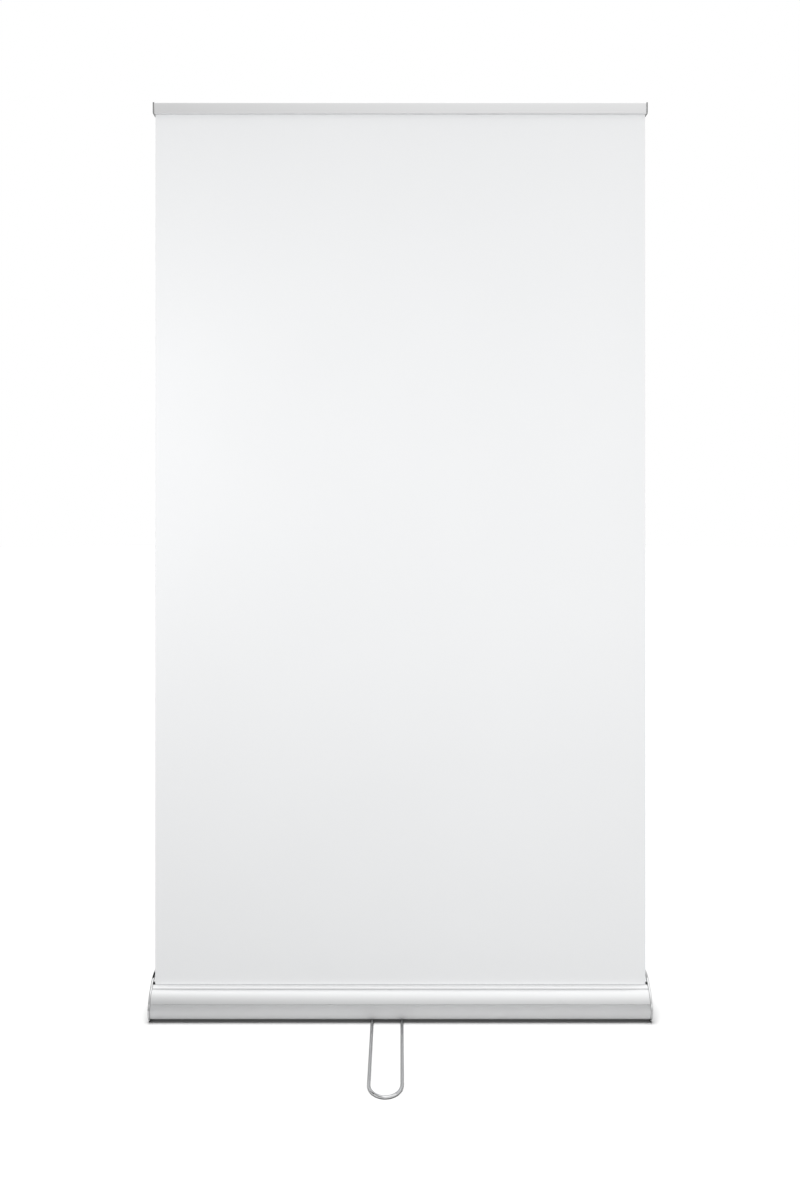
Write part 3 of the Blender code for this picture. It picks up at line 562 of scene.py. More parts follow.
tray = {
    "pivotHole": 0.0033,
    "pivot": (0.032, 0.023208),  # of the rear wire foot, and the front one's is opposite
    "screwRing": 0.0185,
    "screwAngles": (-45, 135),
    "cut": (0.012, 0.020),  # heights between which its floor is cut through
    "edge": 0.0003,
}
rear = [section["floor"], section["soleInner"]] + lowerWall
trayOutline = walled(mirrored(rear) + rear, section["trayWall"])
trayPiece = lengthwise("baseTray", trayOutline, halfBase, shadedTrayMetal)
ports = [
    screwPort("trayPort" + word, middleOf(f"end_screw_left_{word}_low").y, section["bulge"][1])
    for word in ("front", "rear")
]
combine(trayPiece, ports, "UNION")
holes = []
for side in (-1, 1):
    centre = (side * tray["pivot"][0], side * tray["pivot"][1], 0)
    profile = rodProfile(tray["pivotHole"], *tray["cut"])
    holes.append(turned(f"pivotHole{side}", profile, roundSteps["hole"], centre))
for angle in map(math.radians, tray["screwAngles"]):
    centre = (tray["screwRing"] * math.cos(angle), tray["screwRing"] * math.sin(angle), 0)
    profile = sinkProfile(section["floor"][1], 1, *tray["cut"])
    holes.append(turned(f"screwHole{angle:.1f}", profile, roundSteps["hole"], centre))
combine(trayPiece, holes, "DIFFERENCE")
softEdges(trayPiece, tray["edge"])
dress(trayPiece, "base", "satin_aluminium", "base_tray")
print("tray made")

# Front and rear covers, with the line pressed along the shoulder

cover = {
    "lineHalfWidth": 0.0011,
    "lineDepth": 0.0014,
    "lineWallSlope": 0.12,  # share of the half width that each wall leans
    "lipStart": (0.0474, 0.0778),
    "lipEdge": (0.0454, 0.0781),
    "flangeCrown": 0.0002,
    "flangeSteps": 12,
}
along = direction(crown[-2], crown[-1])
flangeWay = direction(section["shoulder"], section["slot"])
inwards = (-(along[1] + flangeWay[1]) / 2, (along[0] + flangeWay[0]) / 2)


def pressedLine(corner, halfWidth):
    floorHalf = halfWidth * (1 - cover["lineWallSlope"])
    line = []
    for s, depth in ((-halfWidth, 0), (-floorHalf, 1), (floorHalf, 1), (halfWidth, 0)):
        step = along if s < 0 else flangeWay
        sink = depth * cover["lineDepth"]
        line.append(tuple(c + s * a + sink * b for c, a, b in zip(corner, step, inwards)))
    return line


inside = sideways(crown + [section["slot"]], -section["coverWall"])
flange = bulged(
    section["shoulder"], cover["lipStart"], cover["flangeCrown"], cover["flangeSteps"]
)
outside = crown[:-2] + pressedLine(section["shoulder"], cover["lineHalfWidth"])
outside += flange[2:] + [cover["lipEdge"]]
backHalfWidth = cover["lineHalfWidth"] + section["coverWall"] / 2
inside = inside[:-4] + pressedLine(inside[-2], backHalfWidth) + inside[-1:]
coverOutline = outside + list(reversed(inside))
for word, side in depthSides:
    outline = coverOutline if side > 0 else mirrored(coverOutline)
    piece = lengthwise(word + "Cover", outline, halfBase, coverMetal)
    port = middleOf(f"end_screw_left_{word}_high")
    combine(piece, [screwPort(word + "CoverPort", port.y, port.z)], "UNION")
    softEdges(piece, section["edge"])
    dress(piece, "base", "cover_aluminium", word + "_cover")
print("side covers made")

# Centre cover, whose lips follow the run of film up from the rolls

roller = {
    "y": 0.045,
    "z": 0.042,
    "filmReach": 0.02135,
    "slot": (0.045, 0.0777),
}
dome = {
    "lip": 0.009,
    "poleHole": 0.0153,
    "poleCut": (0.070, 0.100),
    # the notches at the ends of both slots
    "notchX": (0.6003, 0.606),
    "notchY": (0.039, 0.050),
    "notchZ": (0.066, 0.0835),
    "edge": 0.0003,
}
rise = roller["slot"][1] - roller["z"]
footAngle = math.pi / 2 + math.acos(roller["filmReach"] / rise)
filmFoot = (
    roller["y"] + roller["filmReach"] * math.cos(footAngle),
    roller["z"] + roller["filmReach"] * math.sin(footAngle),
)
climb = direction(filmFoot, roller["slot"])
slotInner = section["slotInner"]
lipEnd = (slotInner[0] - dome["lip"] * climb[0], slotInner[1] - dome["lip"] * climb[1])
domeArc = arcThrough(
    slotInner, (0, section["ridge"]), (-slotInner[0], slotInner[1]), section["domeSteps"]
)
domeLine = [lipEnd] + domeArc + mirrored([lipEnd])
centreCover = lengthwise(
    "centreCover", walled(domeLine, section["coverWall"]), halfBase, coverMetal
)
ridgePort = middleOf("end_screw_left_ridge")
combine(centreCover, [screwPort("ridgePort", 0, ridgePort.z)], "UNION")
cuts = [turned("poleHole", rodProfile(dome["poleHole"], *dome["poleCut"]), roundSteps["neck"])]
for side in (-1, 1):
    ends = sorted(side * x for x in dome["notchX"])
    for way in (-1, 1):
        corners = oblong(*[way * y for y in dome["notchY"]], *dome["notchZ"])
        cuts.append(extruded(f"notch{side}{way}", corners, *ends))
combine(centreCover, cuts, "DIFFERENCE")
softEdges(centreCover, dome["edge"])
dress(centreCover, "base", "cover_aluminium", "centre_cover")
print("centre cover made")

# End plates

plate = {
    "inner": 0.605,
    "outer": 0.610,
    "overhang": 0.002,
    "bottom": 0.0043,
    "round": 0.0022,  # radius of the outer edge
    "roundSteps": 6,
    "edge": 0.0004,
    "axleHole": 0.0043,
    "cut": (-0.006, 0.001),  # how far its holes are cut, from its outer face
}
plateSide = sideways(lowerWall[:-1] + crown[1:] + [section["slot"]], plate["overhang"])[:-1]
plateTop = arcThrough(
    plateSide[-1], (0, section["ridge"] + plate["overhang"]), mirrored(plateSide)[0],
    section["domeSteps"],
)
plateFoot = [(plateSide[0][0], plate["bottom"])]
plateOutline = plateFoot + plateSide + plateTop[1:-1] + mirrored(plateFoot + plateSide)
plateRings = [(plate["inner"], 0)]
for i in range(plate["roundSteps"] + 1):
    angle = math.pi / 2 * i / plate["roundSteps"]
    x = plate["outer"] - plate["round"] * (1 - math.sin(angle))
    plateRings.append((x, plate["round"] * (1 - math.cos(angle))))
screwWords = ("front_low", "rear_low", "front_high", "rear_high", "ridge")
for word, side in endSides:
    bm = bmesh.new()
    rings = []
    for x, shrink in plateRings:
        closed = sideways(plateOutline[-1:] + plateOutline + plateOutline[:1], -shrink)[1:-1]
        rings.append([bm.verts.new((side * x, y, z)) for y, z in closed])
    bm.faces.new(rings[0])
    bm.faces.new(rings[-1])
    for one, two in zip(rings, rings[1:]):
        for i in range(len(one)):
            bm.faces.new((one[i - 1], one[i], two[i], two[i - 1]))
    piece = addObject(word + "EndPlate", bm, chrome)
    cutIn, cutOut = plate["cut"]
    holes = []
    for spot in screwWords:
        place = middleOf(f"end_screw_{word}_{spot}")
        centre = (side * plate["outer"], place.y, place.z)
        profile = sinkProfile(0, -1, cutOut, cutIn)
        holes.append(turned("sink" + spot, profile, roundSteps["hole"], centre, side))
    for y in (-roller["y"], roller["y"]):
        centre = (side * plate["outer"], y, roller["z"])
        profile = rodProfile(plate["axleHole"], cutIn, cutOut)
        holes.append(turned(f"axleHole{y}", profile, roundSteps["bore"], centre, side))
    combine(piece, holes, "DIFFERENCE")
    softEdges(piece, plate["edge"], segments=3)
    dress(piece, "base", "chrome", "end_plate_" + word)
print("end plates made")

# End screws: countersunk heads with a cross recess

screwSizes = {
    "Head Radius": 0.0031,
    "Head Depth": 0.0016,
    "Shank Radius": 0.0015,
    "Shank Length": 0.0164,
    "Recess Length": 0.0036,
    "Recess Width": 0.0007,
    "Recess Depth": 0.0011,
}
screwTree, sizeOf = startTree("countersunkScrews", screwSizes)
head = screwTree.node("GeometryNodeMeshCone", {
    "Vertices": roundSteps["head"], "Radius Top": sizeOf["Head Radius"],
    "Radius Bottom": sizeOf["Shank Radius"], "Depth": sizeOf["Head Depth"],
})
head = raised(screwTree, head, sizeOf["Head Depth"] * -1.0)
arms = []
for alongX, alongY, deep in (("Length", "Width", 2.0), ("Width", "Length", 2.04)):
    # one arm is a hair deeper, so that their floors don't lie in one plane
    armSize = screwTree.node("ShaderNodeCombineXYZ", {
        "X": sizeOf["Recess " + alongX], "Y": sizeOf["Recess " + alongY],
        "Z": sizeOf["Recess Depth"] * deep,
    })
    arms.append(screwTree.node("GeometryNodeMeshCube", {"Size": armSize}))
head = screwTree.node(
    "GeometryNodeMeshBoolean", {"Mesh 1": head, "Mesh 2": arms}, operation="DIFFERENCE"
)
shank = screwTree.node("GeometryNodeMeshCylinder", {
    "Vertices": roundSteps["shank"], "Radius": sizeOf["Shank Radius"],
    "Depth": sizeOf["Shank Length"],
})
shank = raised(screwTree, shank, (sizeOf["Head Depth"] + sizeOf["Shank Length"] * 0.5) * -1.0)
screwShape = screwTree.node("GeometryNodeJoinGeometry", {"Geometry": [head, shank]})
facing = screwTree.node(
    "GeometryNodeInputNamedAttribute", {"Name": "facing"}, "Attribute", data_type="FLOAT_VECTOR"
)
turn = screwTree.node("FunctionNodeAlignRotationToVector", {"Vector": facing}, axis="Z")
screws = screwTree.node("GeometryNodeInstanceOnPoints", {
    "Points": sizeOf["Geometry"], "Instance": screwShape, "Rotation": turn,
})
screwNodes = closeTree(screwTree, screws, zincSteel)
for word, side in endSides:
    # one mesh point for each screw, with the way that its head faces
    nodes = [f"end_screw_{word}_{spot}" for spot in screwWords]
    places = [middleOf(name) for name in nodes]
    spots = [((side * plate["outer"], place.y, place.z), (side, 0, 0)) for place in places]
    piece = pointMesh(word + "EndScrews", spots, [], "facing", "FLOAT_VECTOR")
    grow(piece, screwNodes, screwSizes)
    dress(piece, "base", "zinc_steel", *nodes)
print("end screws made")

# Rubber feet

footPad = {
    "length": 0.005,
    "depth": 0.020,
    "height": 0.004,
    "outer": 0.6095,
    "corner": 0.0016,
    "cornerSteps": 5,
    "edge": 0.0009,
}
for name in ("front_left", "front_right", "rear_left", "rear_right"):
    middle = middleOf("rubber_foot_" + name)
    middle.x = math.copysign(footPad["outer"] - footPad["length"] / 2, middle.x)
    outline = roundedBox(
        footPad["length"] / 2, -footPad["depth"] / 2, footPad["depth"] / 2, footPad["corner"],
        footPad["cornerSteps"], middle,
    )
    piece = extruded("rubberFoot_" + name, outline, 0, footPad["height"], rubber, upright=True)
    softEdges(piece, footPad["edge"], segments=3)
    dress(piece, "base", "foot_rubber", "rubber_foot_" + name)
print("rubber feet made")

# Pole socket, pole tubes and twist collars

pole = {
    "radii": (0.0125, 0.0110, 0.0095),
    "wall": 0.0012,
    "edge": 0.0003,
}
socket = {
    "bore": 0.0128,
    "boreFloor": 0.0200,
    "body": 0.0150,
    "rim": 0.0185,
    "rimBottom": 0.0968,
    "rimTop": 0.0993,
    "flange": 0.0230,
    "flangeBottom": 0.0166,
    "flangeTop": 0.0196,
    "edge": 0.0005,
}
socketProfile = [
    (socket["bore"], socket["rimTop"]), (socket["rim"], socket["rimTop"]),
    (socket["rim"], socket["rimBottom"]), (socket["body"], socket["rimBottom"]),
    (socket["body"], socket["flangeTop"]), (socket["flange"], socket["flangeTop"]),
    (socket["flange"], socket["flangeBottom"]), (0, socket["flangeBottom"]),
    (0, socket["boreFloor"]), (socket["bore"], socket["boreFloor"]),
]
socketPiece = turned("poleSocket", socketProfile, roundSteps["tube"], material=greyPlastic)
softEdges(socketPiece, socket["edge"], segments=3)
dress(socketPiece, "base", "grey_plastic", "pole_socket")
tubes = (("lower", "base"), ("middle", "middle_pole"), ("upper", "rail"))
for (word, body), radius in zip(tubes, pole["radii"]):
    low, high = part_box("pole_" + word)
    profile = tubeProfile(radius, radius - pole["wall"], low.z, high.z)
    piece = turned(word + "PoleTube", profile, roundSteps["tube"], material=poleMetal)
    softEdges(piece, pole["edge"])
    dress(piece, body, "satin_aluminium", "pole_" + word)

ribSizes = {
    "Rib Count": 30,
    "Rib Radius": 0.0007,
    "Rib Length": 15.0,
    # each collar has its own
    "Ring Radius": 0.0,
    "Height": 0.0,
}
ribTree, sizeOf = startTree("collarRibs", ribSizes)
ring = ribTree.node("GeometryNodeMeshCircle", {
    "Vertices": sizeOf["Rib Count"], "Radius": sizeOf["Ring Radius"],
})
ring = raised(ribTree, ring, sizeOf["Height"])
rib = ribTree.node("GeometryNodeMeshUVSphere", {
    "Segments": roundSteps["rib"], "Rings": 9, "Radius": sizeOf["Rib Radius"],
})
# a ball stretched into a rib with round ends
tall = ribTree.node("ShaderNodeCombineXYZ", {"X": 1.0, "Y": 1.0, "Z": sizeOf["Rib Length"]})
rib = ribTree.node("GeometryNodeTransform", {"Geometry": rib, "Scale": tall})
ribs = ribTree.node("GeometryNodeInstanceOnPoints", {"Points": ring, "Instance": rib})
both = ribTree.node("GeometryNodeJoinGeometry", {"Geometry": [ribs, sizeOf["Geometry"]]})
ribNodes = closeTree(ribTree, both, greyPlastic)
collar = {
    "reach": 0.0025,  # how far it stands out from the wider tube
    "gap": 0.0003,
    # points of its outside, from the outer radius and the top or the bottom
    "top": ((-0.0018, 0), (-0.0002, -0.0034), (0, -0.0060), (-0.0005, -0.0072)),
    "foot": ((-0.0005, 0.0032), (0, 0.0022), (0, 0.0008), (-0.0008, 0)),
    "step": 0.0077,  # from its top down to where it widens inside
    "edge": 0.0002,
}
for word, wideTube, narrowTube in zip(("lower", "upper"), pole["radii"], pole["radii"][1:]):
    low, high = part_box(word + "_twist_collar")
    step = high.z - collar["step"]
    outer, wide, narrow = (
        wideTube + collar["reach"], wideTube + collar["gap"], narrowTube + collar["gap"]
    )
    topLine = [(outer + a, high.z + b) for a, b in collar["top"]]
    footLine = [(outer + a, low.z + b) for a, b in collar["foot"]]
    profile = [(narrow, high.z), *topLine, *footLine, (wide, low.z), (wide, step), (narrow, step)]
    piece = turned(word + "TwistCollar", profile, roundSteps["tube"], material=greyPlastic)
    softEdges(piece, collar["edge"])
    grow(piece, ribNodes, {
        **ribSizes, "Ring Radius": outer - ribSizes["Rib Radius"],
        "Height": (topLine[-1][1] + footLine[0][1]) / 2,
    })
    dress(piece, word + "_collar", "grey_plastic", word + "_twist_collar")
print("pole made")

# Top rail, clamp channels, end caps and pole head

rail = {
    "z": 2.206,
    "height": 0.0255,
    "halfDepth": 0.029,
    "wall": 0.0015,
    "lip": 0.008,
    "corner": 0.0018,
    "cornerSteps": 8,
    "ribInner": 0.00995,
    "ribOuter": 0.01145,
    "halfLength": 0.600,
    "edge": 0.0003,
}
railTop = rail["z"] + rail["height"]
ceiling = railTop - rail["wall"]
faceInner = rail["halfDepth"] - rail["wall"]
lipY, lipTop = rail["halfDepth"] - rail["lip"], rail["z"] + rail["wall"]
cornerCut = rail["corner"] * (1 - math.sqrt(0.5))
railHalf = [
    (rail["ribInner"], ceiling), (rail["ribInner"], rail["z"]), (rail["ribOuter"], rail["z"]),
    (rail["ribOuter"], ceiling), (faceInner, ceiling), (faceInner, lipTop), (lipY, lipTop),
    (lipY, rail["z"]), (rail["halfDepth"], rail["z"]),
] + arcThrough(
    (rail["halfDepth"], railTop - rail["corner"]),
    (rail["halfDepth"] - cornerCut, railTop - cornerCut),
    (rail["halfDepth"] - rail["corner"], railTop),
    rail["cornerSteps"],
)
railPiece = lengthwise("topRail", mirrored(railHalf) + railHalf, rail["halfLength"], railMetal)
softEdges(railPiece, rail["edge"])
dress(railPiece, "rail", "rail_aluminium", "top_rail")

clamp = {"inner": 0.01255, "outer": 0.0272, "bottom": 2.2078, "top": 2.2238, "wall": 0.0015}
clampUnder = clamp["top"] - clamp["wall"]
nearY, farY = clamp["inner"] + clamp["wall"], clamp["outer"] - clamp["wall"]
clampHalf = [
    (clamp["inner"], clamp["bottom"]), (nearY, clamp["bottom"]), (nearY, clampUnder),
    (farY, clampUnder), (farY, clamp["bottom"]), (clamp["outer"], clamp["bottom"]),
    (clamp["outer"], clamp["top"]), (clamp["inner"], clamp["top"]),
]
for word, outline in (("front", mirrored(clampHalf)), ("rear", clampHalf)):
    piece = lengthwise(word + "ClampChannel", outline, rail["halfLength"], railMetal)
    softEdges(piece, rail["edge"])
    dress(piece, "rail", "rail_aluminium", word + "_clamp_channel")

cap = {
    "thickness": 0.0025,
    "overhang": 0.0015,
    "corner": 0.004,
    "cornerSteps": 8,
    "gap": 0.0003,
    "spigotLength": 0.012,
    "spigotHeight": 0.005,
    "edge": 0.0006,
}
capOutline = roundedBox(
    rail["halfDepth"] + cap["overhang"], rail["z"] - cap["overhang"], railTop + cap["overhang"],
    cap["corner"], cap["cornerSteps"],
)
spigotSpan = (rail["ribOuter"] + cap["gap"], faceInner - cap["gap"])
spigotTop = ceiling - cap["gap"]
for word, side in endSides:
    start = rail["halfLength"] + cap["gap"]
    ends = sorted((side * start, side * (start + cap["thickness"])))
    piece = extruded(word + "RailCap", capOutline, *ends, capPlastic)
    reach = sorted((side * (start - cap["spigotLength"]), side * (start + cap["thickness"] / 2)))
    spigots = []
    for sign in (-1, 1):
        span = sorted(sign * y for y in spigotSpan)
        corners = oblong(*span, spigotTop - cap["spigotHeight"], spigotTop)
        spigots.append(extruded(f"spigot{sign}", corners, *reach))
    combine(piece, spigots, "UNION")
    softEdges(piece, cap["edge"], segments=3)
    dress(piece, "rail", "cap_plastic", "rail_cap_" + word)

neck = {
    "wide": 0.0095,
    "narrow": 0.0080,
    "reach": 0.010,  # how far it goes up into the block
    "wideBottom": 2.1983,
    "blockCorner": 0.0008,
    "blockCornerSteps": 3,
    "edge": 0.0003,
}
low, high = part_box("pole_head")
headOutline = roundedBox(
    rail["ribInner"] - cap["gap"], rail["z"], high.z, neck["blockCorner"],
    neck["blockCornerSteps"],
)
headBlock = extruded("poleHead", headOutline, low.x, high.x, greyPlastic)
neckTop = rail["z"] + neck["reach"]
neckProfile = [
    (0, neckTop), (neck["wide"], neckTop), (neck["wide"], neck["wideBottom"]),
    (neck["narrow"], neck["wideBottom"]), (neck["narrow"], low.z), (0, low.z),
]
combine(headBlock, [turned("headNeck", neckProfile, roundSteps["neck"])], "UNION")
softEdges(headBlock, neck["edge"])
dress(headBlock, "rail", "grey_plastic", "pole_head")
print("rail made")

# Banners, their run inside the base and the turns left on the rolls

banner = {
    "width": 1.2,
    "thickness": 0.0005,
    "slot": (0.045, 0.078),
    "railY": 0.012,
    "top": clamp["top"],
    "columns": 48,
    "rows": 150,
    "unevenness": 0.0005,
    # the waves that make it uneven: size, along X, along Z and start
    "waves": ((1.0, 4.1, 1.3, 0.0), (0.6, 9.3, -2.2, 1.0)),
    "clamped": 1.02,  # all rows over those that swell: the clamp holds the top ones
    "feedRows": 6,
    "travel": 1.2,
    "turns": 3,
    "turnSteps": 48,
    "turnPitch": 0.66,  # thickness of a wound turn over the film's
    "woundHalf": 0.00016,
    "rollStart": 0.01955,
}
waveTotal = sum(wave[0] for wave in banner["waves"])


def filmSheet(name, side, line, rows, unevenness):
    # a sheet of film on a line of (y, z) points, tight at its ends
    lengths = [math.dist(a, b) for a, b in zip(line, line[1:])]
    total = sum(lengths)
    bm = bmesh.new()
    grid = []
    for row in range(rows + 1):
        gone, part = total * row / rows, 0
        while part < len(lengths) - 1 and gone > lengths[part]:
            gone -= lengths[part]
            part += 1
        share = gone / lengths[part]
        y, z = (a + (b - a) * share for a, b in zip(line[part], line[part + 1]))
        hold = math.sin(math.pi * min(1, row / rows * banner["clamped"])) ** 2
        cells = []
        for column in range(banner["columns"] + 1):
            x = banner["width"] * (column / banner["columns"] - 0.5)
            swell = sum(
                size * math.sin(a * x + b * z + start) for size, a, b, start in banner["waves"]
            )
            swell *= unevenness * hold / waveTotal
            cells.append(bm.verts.new((x, side * y + swell, z)))
        grid.append(cells)
    for one, two in zip(grid, grid[1:]):
        for i in range(banner["columns"]):
            bm.faces.new((one[i], one[i + 1], two[i + 1], two[i]))
    piece = addObject(name, bm, film)
    wall = piece.modifiers.new("thickness", "SOLIDIFY")
    wall.thickness = banner["thickness"]
    wall.offset = 0
    settle(piece)
    sharpen(piece)
    return piece, total


def woundOutline(side):
    # the turns on a roller, one over another, ending where the film leaves for the slot
    outer, inner = [], []
    for i in range(banner["turnSteps"] * banner["turns"] + 1):
        gone = i / banner["turnSteps"]
        angle = footAngle + 2 * math.pi * (banner["turns"] - gone)
        middle = banner["rollStart"] + banner["thickness"] * gone * banner["turnPitch"]
        for line, reach in ((outer, banner["woundHalf"]), (inner, -banner["woundHalf"])):
            radius = middle + reach
            line.append((
                side * (roller["y"] + radius * math.cos(angle)),
                roller["z"] + radius * math.sin(angle),
            ))
    return outer + list(reversed(inner))


filmFeet = []
for word, side in depthSides:
    line = [banner["slot"], (banner["railY"], rail["z"]), (banner["railY"], banner["top"])]
    piece, shownLength = filmSheet(
        word + "Banner", side, line, banner["rows"], banner["unevenness"]
    )
    filmFeet.append((side, piece))
    dress(piece, "base", "banner_film", word + "_banner")
    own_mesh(piece)
    word + "ClampChannel"
    feed, feedLength = filmSheet(
        word + "BannerFeed", side, [filmFoot, roller["slot"]], banner["feedRows"], 0
    )
    dress(feed, "base", "banner_film", word + "_banner_feed")
    word + "GraphicRoll"
    roll = lengthwise(word + "GraphicRoll", woundOutline(side), banner["width"] / 2, film)
    sharpen(roll)
    dress(roll, word + "_roller", "banner_film", word + "_graphic_roll")
    word + "_roller_tube"
print("banners made")

# Wire feet: a filleted line made a round wire, and the block that it swivels with

wireSizes = {"Wire Radius": 0.0035, "Bend Steps": 20, "Round Steps": 24}
wireTree, sizeOf = startTree("bentWire", wireSizes)
line = wireTree.node("GeometryNodeMeshToCurve", {"Mesh": sizeOf["Geometry"]})
bendRadius = wireTree.node(
    "GeometryNodeInputNamedAttribute", {"Name": "bendRadius"}, "Attribute", data_type="FLOAT"
)
line = wireTree.node("GeometryNodeFilletCurve", {
    "Curve": line, "Count": sizeOf["Bend Steps"], "Radius": bendRadius, "Limit Radius": True,
}, mode="POLY")
wireSection = wireTree.node("GeometryNodeCurvePrimitiveCircle", {
    "Resolution": sizeOf["Round Steps"], "Radius": sizeOf["Wire Radius"],
})
wireShape = wireTree.node("GeometryNodeCurveToMesh", {
    "Curve": line, "Profile Curve": wireSection, "Fill Caps": True,
})
wireNodes = closeTree(wireTree, wireShape, wireChrome)
foot = {
    "halfWidth": 0.036,
    "end": 0.445,
    "endLength": 0.056,  # of the half oval in which the loop ends
    "endSteps": 32,
    "wireZ": 0.0035,
    "wireTop": 0.0139,
    "bend": 0.0038,
    "blockHalfLength": 0.044,
    "blockHalfDepth": 0.012,
    "blockBottom": 0.0073,
    "blockTop": 0.0142,
    "blockCorner": 0.004,
    "blockCornerSteps": 8,
    "blockEdge": 0.0004,
    "blockCut": (0.006, 0.016),  # heights between which it is cut through
    "wireHole": 0.0038,
    "headBore": 0.0063,
    "headBoreTop": 0.0099,
    "screwBore": 0.0033,
}
for word, side in depthSides:
    px, py = side * tray["pivot"][0], side * tray["pivot"][1]
    wide = foot["halfWidth"]
    corners = [
        ((px + wide, py, foot["wireTop"]), 0), ((px + wide, py, foot["wireZ"]), foot["bend"]),
    ]
    for i in range(foot["endSteps"] + 1):
        angle = math.pi * i / foot["endSteps"]
        reach = foot["end"] - foot["endLength"] * (1 - math.sin(angle))
        corners.append(((px + wide * math.cos(angle), side * reach, foot["wireZ"]), 0))
    corners += [
        ((px - wide, py, foot["wireZ"]), foot["bend"]), ((px - wide, py, foot["wireTop"]), 0),
    ]
    edges = [(i, i + 1) for i in range(len(corners) - 1)]
    wirePiece = pointMesh(word + "FootWire", corners, edges, "bendRadius", "FLOAT")
    grow(wirePiece, wireNodes, wireSizes)
    dress(wirePiece, word + "_foot", "chrome", word + "_foot_wire")

    outline = roundedBox(
        foot["blockHalfLength"], -foot["blockHalfDepth"], foot["blockHalfDepth"],
        foot["blockCorner"], foot["blockCornerSteps"], (px, py),
    )
    block = extruded(
        word + "FootBlock", outline, foot["blockBottom"], foot["blockTop"], darkPlastic,
        upright=True,
    )
    cutLow, cutHigh = foot["blockCut"]
    bore = [
        (0, cutHigh), (foot["screwBore"], cutHigh), (foot["screwBore"], foot["headBoreTop"]),
        (foot["headBore"], foot["headBoreTop"]), (foot["headBore"], cutLow), (0, cutLow),
    ]
    holes = [turned(word + "Bore", bore, roundSteps["bore"], (px, py, 0))]
    wireHole = rodProfile(foot["wireHole"], cutLow, cutHigh)
    for x in (px - wide, px + wide):
        holes.append(turned(f"wireHole{x}", wireHole, roundSteps["hole"], (x, py, 0)))
    combine(block, holes, "DIFFERENCE")
    softEdges(block, foot["blockEdge"])
    dress(block, word + "_foot", "dark_plastic", word + "_foot_block")
print("wire feet made")

# The CAD pieces that stay get their finish here

stayingFinish = (
    (shadedTrayMetal, ("roller_tube",)),
    (greyPlastic, ("idler_plug", "spring_plug")),
    (zincSteel, ("axle_pin", "spring_arbor", "pivot_screw", "socket_screw_1", "socket_screw_2")),
    (springSteel, ("torsion_spring",)),
)
for finish, endings in stayingFinish:
    for name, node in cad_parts.items():
        if name.endswith(endings):
            for slot in node.material_slots:
                slot.material = finish
print("CAD pieces finished")

# Floor, world and lights

stage = {
    "floorRadius": 40.0,
    "floorSteps": 96,
    "floorTone": 0.355,
    "floorCloud": 0.01,  # how much its tone varies, and over what scale
    "floorCloudScale": 1.5,
    "floorRoughness": 0.9,
    "floorReflected": 0.285,  # its tone in reflections
    "ambient": 0.46,
    "sunStrength": 7.8,
    "sunWidth": 40,
    "sunLean": -0.05,  # the light comes a little from the left
    "sunPlace": (0, 0, 4),
    "tallPiece": 0.2,  # what reaches higher throws no overhead shadow
    "fillStrength": 2.0,
    "fillWidth": 20,
    "fillTurns": (1.37, -1.7715),
    # levels of the studio that glossy surfaces see, by degrees: 0 is the level line behind
    # the camera, 90 straight up and 180 level beyond the stand
    "panels": (
        (0, 0.82), (10, 0.86), (15, 0.93), (35, 1.10), (50, 1.28), (62, 1.42), (80, 1.52),
        (95, 1.52), (110, 1.15), (180, 1.0),
    ),
    # the same panels as far out as the end plates' rims reflect, with a dark flag at the left
    "flaggedLeft": (
        (0, 0.60), (15, 0.72), (35, 0.95), (62, 1.35), (79, 1.50), (103, 1.50), (105, 0.01),
        (134, 0.01), (144, 0.9), (180, 1.0),
    ),
    "flaggedRight": (
        (0, 0.70), (15, 0.80), (35, 1.0), (62, 1.35), (78, 1.50), (103, 1.50), (108, 0.75),
        (134, 0.75), (144, 0.9), (180, 1.0),
    ),
    "flagStart": 0.185,
    # how those levels change from left (-1) to right (1), low down and overhead
    "sideways": (
        (-1.0, 0.8), (-0.85, 0.25), (-0.5, 0.4), (-0.25, 0.82), (-0.15, 0.88), (0.04, 1.0),
        (0.16, 1.07), (0.4, 1.0), (0.7, 0.8), (1.0, 0.9),
    ),
    "sidewaysOverhead": (
        (-1.0, 0.8), (-0.85, 0.25), (-0.5, 0.6), (-0.25, 1.08), (-0.15, 1.08), (0.04, 1.0),
        (0.16, 1.06), (0.4, 1.0), (0.7, 0.8), (1.0, 0.9),
    ),
    "overhead": ((0, 0), (58, 0), (80, 1), (180, 1)),
}
bm = bmesh.new()
bmesh.ops.create_circle(
    bm, cap_ends=True, segments=stage["floorSteps"], radius=stage["floorRadius"]
)
floorMaterial, floorGraph, floorShader, floorPlace = startFinish("paleFloor")
floorSeen = floorGraph.mix(
    noise(floorGraph, floorPlace, stage["floorCloudScale"]),
    grey(stage["floorTone"] - stage["floorCloud"]), grey(stage["floorTone"] + stage["floorCloud"]),
)
directRay = floorGraph.node("ShaderNodeLightPath", {}, "Is Camera Ray")
floorGraph.feed(
    floorShader.inputs["Base Color"],
    floorGraph.mix(directRay, grey(stage["floorReflected"]), floorSeen),
)
floorShader.inputs["Roughness"].default_value = stage["floorRoughness"]
floorShader.inputs["Specular IOR Level"].default_value = 0
floor = addObject("paleFloor", bm, floorMaterial)
if floor.data.polygons[0].normal.z < 0:
    floor.data.flip_normals()

world = bpy.data.worlds.new("studio")
world.use_nodes = True
world.cycles.sampling_method = "NONE"
scene.world = world
sky = Graph(world.node_tree)
background = world.node_tree.nodes["Background"]
way = sky.node("ShaderNodeTexCoord", {}, "Generated")
across, back, up = (sky.node("ShaderNodeSeparateXYZ", {0: way}, axis) for axis in "XYZ")
turnOver = up.maths("ARCTAN2", up, back * -1.0) * (1 / math.pi)


